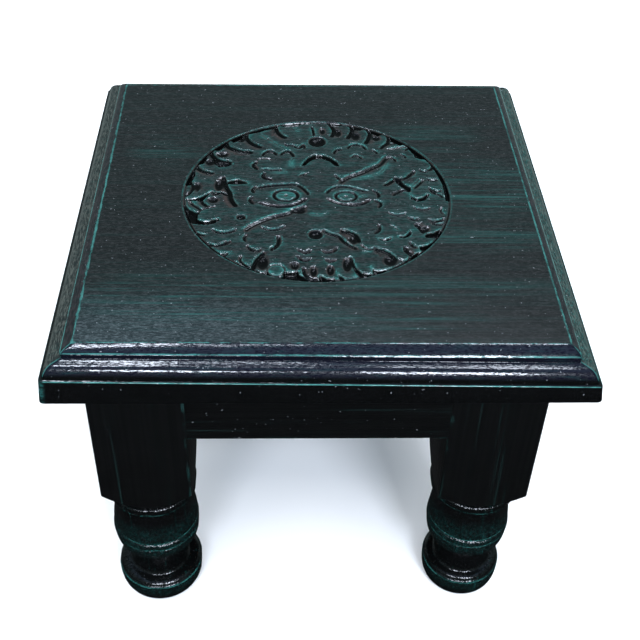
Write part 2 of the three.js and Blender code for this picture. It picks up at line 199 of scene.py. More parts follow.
def pick(piece, kind, test):
    """In edit mode, selects the faces, edges or vertices that pass the test and no others."""
    bpy.ops.mesh.select_mode(type=kind)
    bpy.ops.mesh.select_all(action="DESELECT")
    cage = bmesh.from_edit_mesh(piece.data)
    elements = {"FACE": cage.faces, "EDGE": cage.edges, "VERT": cage.verts}[kind]
    for element in elements:
        if test(element):
            element.select_set(True)
    cage.select_flush_mode()
    bmesh.update_edit_mesh(piece.data)


def round_picked(radius, segments):
    """Rounds the picked edges."""
    bpy.ops.mesh.bevel(offset=radius, segments=segments, profile=0.5, affect="EDGES")


def push_out(step):
    """Extrudes the picked faces by a step."""
    bpy.ops.mesh.extrude_region_move(TRANSFORM_OT_translate={"value": step})


def named(piece, name):
    piece.name = piece.data.name = name
    return piece


def settle(piece):
    """Puts the piece's place into its mesh, so that its object sits at the origin."""
    select_only(piece)
    bpy.ops.object.transform_apply(location=True, rotation=True, scale=True)
    return piece


def move_mesh(piece, matrix):
    piece.data.transform(matrix)
    piece.data.update()
    return piece


def block(name, low, high):
    """Cube primitive shaped to a box between two corners."""
    low, high = Vector(low), Vector(high)
    select_only()
    bpy.ops.mesh.primitive_cube_add(size=1, location=(low + high) / 2, scale=high - low)
    return settle(named(bpy.context.object, name))


def apply_modifier(piece, kind, **settings):
    select_only(piece)
    bpy.ops.object.modifier_add(type=kind)
    modifier = piece.modifiers[-1]
    for key, value in settings.items():
        setattr(modifier, key, value)
    bpy.ops.object.modifier_apply(modifier=modifier.name)


def cut(piece, tool, operation="DIFFERENCE"):
    """Boolean of the piece with a tool body, which is used up."""
    apply_modifier(piece, "BOOLEAN", operation=operation, solver="EXACT", object=tool)
    bpy.data.meshes.remove(tool.data)


def ease(piece, radius, angle):
    """Rounds every edge sharper than the angle."""
    apply_modifier(piece, "BEVEL", width=radius, segments=2, limit_method="ANGLE", angle_limit=math.radians(angle))


def clean(piece):
    """Merges doubles and points the faces outwards."""
    edit(piece, "VERT")
    bpy.ops.mesh.select_all(action="SELECT")
    bpy.ops.mesh.remove_doubles(threshold=0.01 * MM)
    bpy.ops.mesh.normals_make_consistent(inside=False)
    leave_edit_mode()


def smooth(piece, angle):
    select_only(piece)
    bpy.ops.object.shade_smooth_by_angle(angle=math.radians(angle))


def finish_piece(piece, node_name, material):
    """Gives a finished piece its finish and its body, and hides the imported part that it stands for."""
    piece.data.materials.clear()
    piece.data.materials.append(material)
    settle(piece)
    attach(piece, BODY)
    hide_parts(node_name)


def places_of(mesh):
    """Places of a mesh's vertices, one row for each."""
    places = np.empty(len(mesh.vertices) * 3)
    mesh.vertices.foreach_get("co", places)
    return places.reshape(-1, 3)


def place_vertices(mesh, places, **attributes):
    """Moves a mesh's vertices to these places and keeps a number of each under every name."""
    mesh.vertices.foreach_set("co", places.ravel())
    for name, values in attributes.items():
        mesh.attributes.new(name, "FLOAT", "POINT").data.foreach_set("value", values)
    mesh.update()


def bow(start, corner, end, steps):
    """Quarter-like curve between two points, drawn towards a corner; the start isn't repeated."""
    start, corner, end = np.array(start), np.array(corner), np.array(end)
    points = []
    for step in range(1, steps + 1):
        t = step / steps
        points.append((1 - t) ** 2 * start + 2 * t * (1 - t) * corner + t ** 2 * end)
    return points


def turned(name, outline, centre, facets):
    """Outline of radius and height, spun round an upright axis into a closed body."""
    select_only()
    start = Vector((centre[0] + outline[0][0], centre[1], outline[0][1]))
    bpy.ops.mesh.primitive_plane_add(size=MM, location=start)
    piece = settle(named(bpy.context.object, name))
    edit(piece, "VERT")
    bpy.ops.mesh.select_all(action="SELECT")
    bpy.ops.mesh.merge(type="CENTER")
    for before, after in zip(outline, outline[1:]):
        step = (after[0] - before[0], 0, after[1] - before[1])
        bpy.ops.mesh.extrude_vertices_move(TRANSFORM_OT_translate={"value": step})
    bpy.ops.mesh.select_all(action="SELECT")
    bpy.ops.mesh.spin(steps=facets, angle=2 * math.pi, center=(centre[0], centre[1], 0), axis=(0, 0, 1))
    clean(piece)
    return piece


# Node helpers


MIX_FACTOR, MIX_FIRST, MIX_SECOND, MIX_COLOUR = 0, 6, 7, 2      # sockets of a Mix node that mixes colours


class Value:
    """Number that varies over a surface: one output of a node, with arithmetic that adds further nodes."""

    def __init__(self, nodes, socket):
        self.nodes = nodes
        self.socket = socket

    def maths(self, operation, other=None):
        return self.nodes.maths(operation, self, other)

    def __add__(self, other):
        return self.maths("ADD", other)

    def __sub__(self, other):
        return self.maths("SUBTRACT", other)

    def __rsub__(self, other):
        return self.nodes.maths("SUBTRACT", other, self)

    def __mul__(self, other):
        return self.maths("MULTIPLY", other)

    def __truediv__(self, other):
        return self.maths("DIVIDE", other)

    def __abs__(self):
        return self.maths("ABSOLUTE")

    __radd__ = __add__
    __rmul__ = __mul__

    def ramp(self, low, high, start=0.0, end=1.0):
        return self.nodes.ramp(self, low, high, start, end)

    def band(self, middle, half_width):
        """One round the middle, falling from half to one and a half times the half width."""
        return (abs(self - middle) / half_width).ramp(1.5, 0.5)


def most(*values):
    highest = values[0]
    for value in values[1:]:
        highest = highest.maths("MAXIMUM", value)
    return highest


class Nodes:
    """Node tree of a material or world, built link by link."""

    def __init__(self, owner):
        owner.use_nodes = True
        self.tree = owner.node_tree
        self.tree.nodes.clear()

    def node(self, kind, sockets, output=0, **settings):
        """Adds a node, sets or links its sockets and gives one of its outputs."""
        made = self.tree.nodes.new(kind)
        for key, value in settings.items():
            setattr(made, key, value)
        for key, value in sockets.items():
            if isinstance(value, Value):
                self.tree.links.new(value.socket, made.inputs[key])
            elif value is not None:
                made.inputs[key].default_value = value
        return Value(self, made.outputs[output]) if made.outputs else None

    def maths(self, operation, first, second=None):
        return self.node("ShaderNodeMath", {0: first, 1: second}, operation=operation)

    def ramp(self, value, low, high, start=0.0, end=1.0):
        """Smooth step of a value, from start at low to end at high."""
        sockets = {"Value": value, "From Min": low, "From Max": high, "To Min": start, "To Max": end}
        return self.node("ShaderNodeMapRange", sockets, "Result", interpolation_type="SMOOTHSTEP", clamp=True)

    def mix(self, factor, first, second):
        sockets = {MIX_FACTOR: factor, MIX_FIRST: first, MIX_SECOND: second}
        return self.node("ShaderNodeMix", sockets, MIX_COLOUR, data_type="RGBA", clamp_factor=True)

    def axes(self, vector):
        """The X, Y and Z of a vector."""
        parts = self.node("ShaderNodeSeparateXYZ", {"Vector": vector}).socket.node
        return [Value(self, socket) for socket in parts.outputs]


class Finish(Nodes):
    """One material, its patterns laid out on Object coordinates."""

    def __init__(self, name):
        self.material = bpy.data.materials.new(name)
        super().__init__(self.material)
        self.place = self.node("ShaderNodeTexCoord", {}, "Object")

    def noise(self, scale=1.0, stretch=(1, 1, 1), detail=2.0, roughness=0.5, distortion=0.0, shift=0.0):
        sockets = {"Vector": self.place, "Scale": stretch, "Location": (shift, shift, shift)}
        vector = self.node("ShaderNodeMapping", sockets, "Vector")
        sockets = {
            "Vector": vector, "Scale": scale, "Detail": detail, "Roughness": roughness, "Distortion": distortion
        }
        return self.node("ShaderNodeTexNoise", sockets)

    def attribute(self, name):
        return self.node("ShaderNodeAttribute", {}, "Fac", attribute_name=name)

    def toned(self, factor, tones):
        dark, light = tones
        return self.mix(factor, rgba(dark), rgba(light))

    def bump(self, height, distance, normal=None):
        sockets = {"Height": height, "Distance": distance, "Strength": 1.0, "Normal": normal}
        return self.node("ShaderNodeBump", sockets, "Normal")

    def close(self, sockets):
        shader = self.node("ShaderNodeBsdfPrincipled", sockets)
        self.node("ShaderNodeOutputMaterial", {"Surface": shader})
        return self.material


def rgba(value, factor=1.0):
    return (value[0] * factor, value[1] * factor, value[2] * factor, 1.0)


# Painted finish: how often a pattern repeats along and across the grain, per metre
GRAIN_X = (11.0, 900.0, 900.0)
GRAIN_Y = (900.0, 11.0, 900.0)
GRAIN_Z = (420.0, 420.0, 6.0)
BROAD_STREAKS = 0.22            # repeats of the patches that break the streaks, as a share of the streaks' own
PALE_SPECK_TONE = (0.42, 0.46, 0.50)
SWELL_DEPTH = 0.00016
BRUSH_DEPTH = 0.00002
CRINKLE_DEPTH = 0.00009
COAT_ROUGHNESS = 0.045
COAT_LEFT_IN_SHADE = 0.22
COAT_LEFT_IN_PITS = 0.04


def flecks(finish, grain, along, across, detail, shift):
    """Noise in short marks that lie along the grain."""
    stretch = tuple(along if value == min(grain) else across for value in grain)
    return finish.noise(stretch=stretch, detail=detail, shift=shift)


def dashes(finish, grain):
    return flecks(finish, grain, 300.0, 1200.0, 1.0, 4.0)


def lacquered(finish, settings, rubbed, pale, grain, shade=0.0, brown=0.0, crinkled=1.0, dull=0.30, specked=0.30,
              ripples=None, pitting=0.0, painted_sheen=0.0, painted_sheen_tone=None):
    """Black topcoat rubbed back to the undercoat, lightened by painted sheen where a sheen tone is given and darkened
    by painted shade, under a glossy, crinkled lacquer that shaded places lose.
    """
    mottle = finish.noise(55, detail=3.0, shift=0.3)
    black = finish.mix(mottle, rgba(settings.topcoat, 0.7), rgba(settings.topcoat, 1.4))
    # painted sheen: the black is lightened towards the sheen tone
    if painted_sheen_tone is not None:
        black = finish.mix(painted_sheen, black, painted_sheen_tone)
    green = finish.mix(pale, rgba(settings.undercoat), rgba(settings.undercoat_pale))
    paint = finish.mix(rubbed, black, green)
    # pale bluish specks scattered at random over the paint
    specks = finish.noise(620, detail=1.0, shift=1.7).ramp(0.755, 0.79)
    paint = finish.mix(specks * specked, paint, rgba(PALE_SPECK_TONE))
    # painted shade: darker black where the shade factor is high
    paint = finish.mix(shade, paint, rgba(settings.topcoat, 0.6))
    paint = finish.mix(brown, paint, rgba(settings.primer))

    brush = finish.noise(stretch=grain, detail=1.0, shift=2.1)
    crinkle = dashes(finish, grain) if ripples is None else ripples
    normal = finish.bump(finish.noise(70, shift=5.0), SWELL_DEPTH)
    normal = finish.bump(brush, BRUSH_DEPTH, normal)
    normal = finish.bump(crinkle * crinkled, CRINKLE_DEPTH, normal)
    pits = flecks(finish, grain, 420.0, 1400.0, 2.0, 7.3).ramp(0.50, 0.58)
    pitted = (pits * pitting).ramp(0.0, 1.0, 1.0, COAT_LEFT_IN_PITS)
    # painted shade also takes the coat's gloss away
    lit = finish.ramp(shade, 1.0, 0.2, COAT_LEFT_IN_SHADE, 1.0) * pitted * brush.ramp(0.30, 0.70, 0.80, 1.0)
    sockets = {
        "Base Color": paint,
        "Roughness": dull,
        "Normal": normal,
        "Coat Normal": normal,
        "Coat Weight": lit,
        "Coat Roughness": COAT_ROUGHNESS,
        "Specular IOR Level": lit * 0.3,
    }
    return finish.close(sockets)


def rubbed_streaks(finish, grain, low, high, shift=0.0):
    """Dry-brush streaks along the grain, broken into patches."""
    fine = finish.noise(stretch=grain, detail=4.0, roughness=0.62, shift=shift)
    broad = finish.noise(stretch=tuple(value * BROAD_STREAKS for value in grain), shift=shift + 3.0)
    return (fine * 0.62 + broad * 0.38).ramp(low, high)


# Places on the field where the brush rubbed through: middle and reach in metres, and how much
RUBBED_ZONES = (
    ((0.100, 0.010), (0.050, 0.032), 0.28),
    ((0.095, -0.040), (0.060, 0.016), 0.22),
    ((0.075, 0.070), (0.040, 0.022), 0.20),
    ((-0.075, -0.100), (0.065, 0.024), 0.30),
    ((0.020, -0.112), (0.080, 0.018), 0.26),
    ((-0.098, 0.050), (0.026, 0.018), 0.16),
    ((0.030, -0.090), (0.120, 0.016), 0.18),
)

# Painted sheen on the board's black where it isn't the plain topcoat: the dark and the light of its grain, lightened
# in place of the reflections on the mouldings and the field
LOWER_SIDE_SHEEN_TONES = ((0.007, 0.009, 0.009), (0.046, 0.052, 0.046))
UPPER_SIDE_SHEEN_TONES = ((0.004, 0.004, 0.005), (0.019, 0.015, 0.017))
FIELD_GRIT_SHEEN_TONES = ((0.0012, 0.0016, 0.0018), (0.0150, 0.0160, 0.0168))
FRONT_LEFT_SHEEN_TONES = ((0.0060, 0.0100, 0.0120), (0.0460, 0.0600, 0.0660))
FRONT_REFLECTION_TONE = (0.0030, 0.0030, 0.0068)
CARVING_SHEEN_TONE = (0.020, 0.021, 0.023)

LINE_INSET = 0.0003             # worn lines lie this far in from their arris
MITRE_BLEND = 0.0002
MOULDINGS_LOW = TOP_LOW.z + 0.0165
MOULDINGS_FULL = TOP_LOW.z + 0.0190


class TopFinish(Finish):
    """Finish of the board: worn arrises, streaks on the field, green lands in the carving, painted shade in the cuts,
    painted sheen on the mouldings and the field, and painted glints along the front's edge line.
    """

    def __init__(self, sizes, roundel):
        super().__init__("painted_top")
        self.x, self.y, risen_z = self.axes(self.place)
        self.z = risen_z - self.attribute("lift")
        self.out_x = abs(self.x) - self.attribute("slip_x")
        self.out_y = abs(self.y) - self.attribute("slip_y")
        self.wander = self.noise(330, stretch=(0.35, 0.35, 1), detail=3.0, roughness=0.65)
        self.inset = TOP_HIGH.x - most(self.out_x, self.out_y) + self.wander * 0.0006
        self.breaks = self.noise(95, detail=4.0, roughness=0.7, shift=0.9)

        self.edge_z = TOP_LOW.z + sizes.edge_height
        self.step_z = TOP_HIGH.z - sizes.upper_ovolo_height
        self.field_inset = (
            sizes.quirk_width + sizes.lower_ovolo_width + sizes.ledge_width + sizes.upper_ovolo_width
        )
        self.fillet_inset = self.field_inset - sizes.upper_ovolo_width
        self.across_mitre = self.out_x - self.out_y
        self.front_half = self.y.ramp(0.001, -0.001)
        self.on_front = self.across_mitre.ramp(MITRE_BLEND, -MITRE_BLEND) * self.front_half
        self.on_side = self.across_mitre.ramp(-MITRE_BLEND, MITRE_BLEND)
        self.left_side = self.x.ramp(-0.1330, -0.1350)
        self.right_side = self.x.ramp(0.1300, 0.1310) * self.on_side
        self.on_moulding = self.inset.ramp(self.field_inset + 0.0012, self.field_inset - 0.0004)
        self.on_slopes = self.on_moulding * self.z.ramp(MOULDINGS_LOW, MOULDINGS_FULL)
        self.on_field = self.inset.ramp(self.field_inset - 0.0004, self.field_inset + 0.0008)
        self.on_field_top = self.on_field * self.z.ramp(TOP_HIGH.z - 0.0022, TOP_HIGH.z - 0.0008)

        from_x, from_y = self.x - roundel.shift_x, self.y - roundel.shift_y
        self.round = roundel.radius
        self.radius = (from_x * from_x + from_y * from_y).maths("SQRT")
        self.in_round = self.radius.ramp(self.round + 0.0002, self.round - 0.0012)
        self.hollow = self.attribute("hollow")

    def field_line(self):
        """Line round the field, ragged and blotched down the left side."""
        blotches = self.noise(stretch=(260, 110, 260), detail=4.0, roughness=0.75, shift=4.4)
        ragged = self.inset + self.noise(900, detail=4.0, roughness=0.75, shift=3.0) * 0.0016
        width = 0.00030 + self.right_side * 0.00022 + self.left_side * blotches.ramp(0.38, 0.66, 0.0, 0.00075)
        away = abs(ragged - (self.field_inset + LINE_INSET + 0.0008))
        return (away / width).ramp(1.6, 0.5) * most(
            self.breaks.ramp(0.36, 0.60, self.right_side * 0.28, 0.75),
            self.left_side * blotches.ramp(0.36, 0.56, 0.12, 0.62),
        )

    def fillet_line(self):
        """Line along the step between the mouldings."""
        middle = self.fillet_inset + 2 * LINE_INSET + self.right_side * 0.0011
        line = self.inset.band(middle, self.on_front.ramp(0.0, 1.0, 0.00055, 0.00030))
        on_step = self.z.ramp(self.step_z + 0.0002, self.step_z + 0.0006)
        return line * on_step * self.breaks.ramp(0.30, 0.56, 0.15, 0.8)

    def edge_line(self):
        """Line along the arris of the upright edge, all but lost at the left end."""
        line = self.inset.band(0.0004, 0.0004) * self.z.ramp(self.edge_z - 0.0005, self.edge_z - 0.0001)
        return line * self.x.ramp(-0.1505, -0.1490, 0.12, 1.0) * self.breaks.ramp(0.25, 0.55, 0.2, 0.8)

    def mitre_lines(self):
        line = self.across_mitre.band(0.0, 0.0005) * self.inset.ramp(self.field_inset, self.field_inset - 0.001)
        above_edge = self.z.ramp(TOP_LOW.z + 0.0155, TOP_LOW.z + 0.0175)
        return line * self.breaks.ramp(0.30, 0.52, 0.1, 0.55) * self.front_half * above_edge

    def worn_corner(self):
        """Bare corner of the upright edge, at the front left."""
        from_corner = 2 * TOP_HIGH.x - (self.out_x + self.out_y)
        on_corner = self.x.ramp(-0.1400, -0.1460) * self.y.ramp(-0.1400, -0.1460)
        below_arris = self.z.ramp(self.edge_z + 0.0004, self.edge_z - 0.0006)
        return from_corner.ramp(0.0044, 0.0014) * below_arris * on_corner * self.wander.ramp(0.40, 0.62, 0.06, 0.42)

    def worn_mouldings(self):
        """Dabs of undercoat on the slopes, most of them on the upper moulding at the right."""
        dabs = self.noise(stretch=(2200, 420, 2200), detail=3.0, roughness=0.75, shift=6.0).ramp(0.50, 0.66)
        front_dabs = self.noise(stretch=(60, 700, 700), detail=4.0, roughness=0.7, shift=7.0).ramp(0.50, 0.70)
        upper = self.inset.ramp(self.fillet_inset + 0.0004, self.fillet_inset - 0.0006, 0.05, 0.72)
        right = (dabs * 0.85 + 0.12) * self.right_side * upper
        return self.on_slopes * most(right, dabs * self.left_side * 0.06, front_dabs * 0.10)

    def worn_field(self):
        """Streaks along the grain, strong where the brush rubbed through and faint elsewhere."""
        zones = []
        for (middle_x, middle_y), (reach_x, reach_y), strength in RUBBED_ZONES:
            across = (self.x - middle_x) * (1 / reach_x)
            along = (self.y - middle_y) * (1 / reach_y)
            zones.append((across * across + along * along).ramp(1.6, 0.0, 0.0, strength))
        zones = most(*zones)
        streaks = rubbed_streaks(self, (26.0, 1100.0, 1100.0), 0.47, 0.62)
        faint = rubbed_streaks(self, GRAIN_X, 0.46, 0.72, shift=8.0)
        return (streaks * zones + faint * 0.065 + zones * 0.05) * self.on_field_top

    def worn_lands(self):
        """Flat places between the cuts, greener near the cuts' rims."""
        wash = self.attribute("wash")
        patches = rubbed_streaks(self, (120.0, 700.0, 700.0), 0.40, 0.66, shift=11.0)
        green = patches * wash.ramp(0.0, 0.5, 0.16, 0.95) + wash.ramp(0.05, 0.5, 0.02, 0.24)
        return self.in_round * self.hollow.ramp(0.30, 0.08) * green

    def worn_rims(self):
        """Rims of the cuts, and the weaker outer rim of the roundel."""
        chips = self.noise(700, detail=3.0, roughness=0.7, shift=2.2).ramp(0.36, 0.60, 0.15, 1.0)
        rims = self.attribute("worn") * chips * self.breaks.ramp(0.28, 0.54, 0.25, 0.85)
        return rims * self.radius.ramp(self.round + 0.0004, self.round - 0.0030, 0.6, 1.0)

    def primer_in_cuts(self, shade):
        patches = self.noise(75, shift=13.0).ramp(0.45, 0.60)
        return self.hollow.ramp(0.08, 0.22) * shade.ramp(0.7, 0.1) * (patches * 0.35 + 0.22)

    def crinkles(self, matt):
        """How far the lacquer is crinkled: less on the field, half on the lands and most in the cuts."""
        crinkled = matt.ramp(0.0, 1.0, 0.62, 0.50)
        crinkled *= (self.in_round * self.hollow.ramp(0.10, 0.04)).ramp(0.0, 1.0, 1.0, 0.50)
        return crinkled * (self.in_round * self.hollow.ramp(0.04, 0.10)).ramp(0.0, 1.0, 1.0, 2.6)

    def grain_and_painted_sheen(self):
        """Tone of the black with painted sheen: grey grain as painted reflection on the side mouldings, a bluer
        painted reflection along the front ones, and grit lightened as painted sheen on the field and in the carving,
        with a painted haze towards the field's front left.
        """
        grain = self.noise(stretch=(1300, 200, 1300), detail=3.0, roughness=0.7, shift=9.5)
        lower = self.toned(grain.ramp(0.40, 0.66), LOWER_SIDE_SHEEN_TONES)
        upper = self.toned(grain.ramp(0.38, 0.68), UPPER_SIDE_SHEEN_TONES)
        on_upper = self.inset.ramp(self.fillet_inset - 0.0004, self.fillet_inset + 0.0004)
        mouldings = self.mix(self.on_front, self.mix(on_upper, lower, upper), rgba(FRONT_REFLECTION_TONE))
        grit = self.noise(stretch=(330, 1250, 1250), detail=4.0, roughness=0.8, shift=14.0).ramp(0.44, 0.66)
        grit_with_painted_sheen = self.toned(grit, FIELD_GRIT_SHEEN_TONES)
        # painted haze towards the field's front left
        front_left_sheen = self.y.ramp(-0.080, -0.128) * self.x.ramp(0.080, -0.080)
        field = self.mix(front_left_sheen, grit_with_painted_sheen, self.toned(grit, FRONT_LEFT_SHEEN_TONES))
        field = self.mix(self.in_round, field, self.mix(grit, grit_with_painted_sheen, rgba(CARVING_SHEEN_TONE)))
        return self.mix(self.on_field_top, mouldings, field)

    def painted(self, settings):
        edge_line = self.edge_line()
        # painted highlight: pale broken dashes along the front's edge line stand in for glints
        painted_glints = self.noise(stretch=(130, 130, 130), detail=3.0, roughness=0.7, shift=8.8).ramp(0.48, 0.60)
        lines = most(self.mitre_lines(), self.worn_corner(), self.field_line(), self.fillet_line(), edge_line)
        field, rims = self.worn_field(), self.worn_rims()
        rubbed = most(lines, self.worn_mouldings(), field, self.worn_lands(), rims)
        pale = most(rims * 0.6, lines * 0.55, field * 0.4, edge_line * self.on_front * painted_glints)
        # painted shade: the cuts darken with their depth
        shade = self.hollow.ramp(0.13, 0.42, 0.0, 0.95)
        matt = self.on_field * self.radius.ramp(self.round - 0.002, self.round + 0.001)
        ripples = self.mix(self.on_side * self.on_moulding, dashes(self, GRAIN_X), dashes(self, GRAIN_Y))
        return lacquered(
            self, settings, rubbed, pale, GRAIN_X, shade, self.primer_in_cuts(shade), self.crinkles(matt),
            dull=matt.ramp(0.0, 1.0, 0.20, 0.32), ripples=ripples, pitting=self.on_moulding * self.on_front * 0.75,
            # painted sheen on the sloping mouldings and on the field
            painted_sheen=most(self.on_slopes * most(self.on_front, self.on_side), self.on_field_top),
            painted_sheen_tone=self.grain_and_painted_sheen(),
        )


def leg_heights(sizes):
    """Heights of the shoulder's foot, the ring's underside, the bulb's upper and lower line and its lower end."""
    shoulder = LEG_HIGH.z - sizes.block_length - sizes.shoulder_length
    ring_bottom = shoulder - sizes.notch_length - sizes.ring_length
    shares = (sizes.upper_line_share, sizes.lower_line_share, 1)
    return shoulder, ring_bottom, *(ring_bottom - sizes.bulb_length * share for share in shares)


def leg_finish(settings, sizes):
    """Finish of the legs: worn arrises, rings, lines and foot rims."""
    finish = Finish("painted_leg")
    x, y, z = finish.axes(finish.place)
    breaks = finish.noise(60, stretch=(1, 1, 0.6), detail=4.0, roughness=0.7, shift=1.3)
    rough = finish.noise(420, detail=3.0, roughness=0.7, shift=2.9)
    level = z + rough * 0.0007
    shoulder, ring_bottom, upper_line, lower_line, bulb_bottom = leg_heights(sizes)

    nearest = abs(abs(x) - LEG_X).maths("MINIMUM", abs(abs(y) - LEG_Y))
    arris = nearest.ramp(LEG_HALF - 0.0012, LEG_HALF - 0.0004, 0.0, 0.7)
    arris *= z.ramp(shoulder, shoulder + 0.004) * breaks.ramp(0.50, 0.64)
    inner = abs(x).ramp(LEG_X, LEG_X - 0.001, 0.04, 0.35)
    arris *= inner * y.ramp(-LEG_Y + 0.01, -LEG_Y - 0.01)

    # Height, half width and strength of each worn line of the turning
    lines = (
        (sizes.foot_height - 0.0008, 0.0006, 0.75),
        (ring_bottom + 0.0016, 0.0006, 0.70),
        (shoulder + 0.0006, 0.0005, 0.25),
        (upper_line + 0.0011, 0.0005, 0.8),
        (lower_line + 0.0011, 0.0005, 0.7),
    )
    rims = most(*(level.band(height + 0.00035, half_width) * strength for height, half_width, strength in lines))
    chips = finish.noise(800, detail=3.0, roughness=0.7, shift=1.9).ramp(0.36, 0.58, 0.25, 1.0)
    rims *= chips * breaks.ramp(0.36, 0.58, 0.28, 1.0)
    bulb_wash = z.band(bulb_bottom + sizes.bulb_length * 0.36, sizes.bulb_length * 0.30)
    foot_wash = z.band(sizes.foot_height * 0.72, sizes.foot_height * 0.22)
    rubbed = most(
        arris, rims,
        bulb_wash * rough.ramp(0.35, 0.75, 0.01, 0.14),
        foot_wash * rough.ramp(0.40, 0.75, 0.02, 0.14),
        rubbed_streaks(finish, GRAIN_Z, 0.56, 0.70, shift=5.0) * 0.22,
    )
    turned_part = z.ramp(shoulder + 0.002, shoulder - 0.001)
    crackle = finish.noise(stretch=(950, 950, 950), roughness=0.6, shift=4.6)
    crackled = turned_part.ramp(0.0, 1.0, 0.6, 3.0) * z.ramp(0.030, 0.045, 0.45, 1.0)
    return lacquered(
        finish, settings, rubbed, rims * 0.30, GRAIN_Z, crinkled=crackled,
        dull=turned_part.ramp(0.0, 1.0, 0.40, 0.22), specked=0.06, ripples=crackle, pitting=turned_part,
    )


def apron_finish(settings, name, grain):
    """Finish of an apron: faint streaks and a line along its lower arris."""
    finish = Finish(name)
    z = finish.axes(finish.place)[2]
    rough = finish.noise(300, detail=3.0, roughness=0.7, shift=2.9)
    line = (z + rough * 0.0008).band(APRON_LOW.z + 0.0006, 0.0006) * rough.ramp(0.42, 0.60, 0.0, 0.5)
    streaks = rubbed_streaks(finish, grain, 0.56, 0.70, shift=2.0) * 0.30
    return lacquered(finish, settings, most(line, streaks), 0.0, grain, dull=0.40)


def bare_wood_finish(settings, name, grain):
    """Planed, unpainted hardwood with its pores along the length."""
    finish = Finish(name)
    rings = finish.noise(stretch=tuple(value * 0.16 for value in grain), detail=3.0, distortion=0.6)
    pores = finish.noise(stretch=tuple(value * 2.0 for value in grain), detail=3.0, roughness=0.6, shift=2.0)
    wood = finish.mix(rings.ramp(0.35, 0.65), rgba(settings.bare_wood, 0.62), rgba(settings.bare_wood, 1.12))
    wood = finish.mix(pores.ramp(0.60, 0.72, 0.0, 0.6), wood, rgba(settings.bare_wood, 0.3))
    normal = finish.bump(pores, 0.00012)
    return finish.close({"Base Color": wood, "Roughness": pores.ramp(0.3, 0.7, 0.62, 0.82), "Normal": normal})


def steel_finish(settings):
    """Zinc plating, slightly clouded."""
    finish = Finish("plated_screw")
    cloud = finish.noise(900, detail=3.0, roughness=0.6)
    steel = finish.mix(cloud, rgba(settings.screw_steel, 0.7), rgba(settings.screw_steel, 1.2))
    normal = finish.bump(finish.noise(2600, shift=1.0), 0.00002)
    sockets = {"Base Color": steel, "Metallic": 1.0, "Roughness": cloud.ramp(0.3, 0.7, 0.26, 0.42), "Normal": normal}
    return finish.close(sockets)


# Carving. All places and depths are millimetres on a roundel whose outer wall has this radius, seen
# from above, with x to the right and y to the back.
CARVING_RADIUS = 85.6
WALL = 0.8                      # run of a stop cut's steep wall
RIM_WIDTH = 1.1                 # of the rubbed rim beside a cut
DEEP_WIDTH = 1.4                # of the deep part of a hollow, next to its stop cut
BROAD_SHARE = 0.42              # of a hollow's depth that runs out over its whole reach
COMPASS = {
    "e": (1, 0), "ne": (1, 1), "n": (0, 1), "nw": (-1, 1), "w": (-1, 0), "sw": (-1, -1), "s": (0, -1), "se": (1, -1)
}

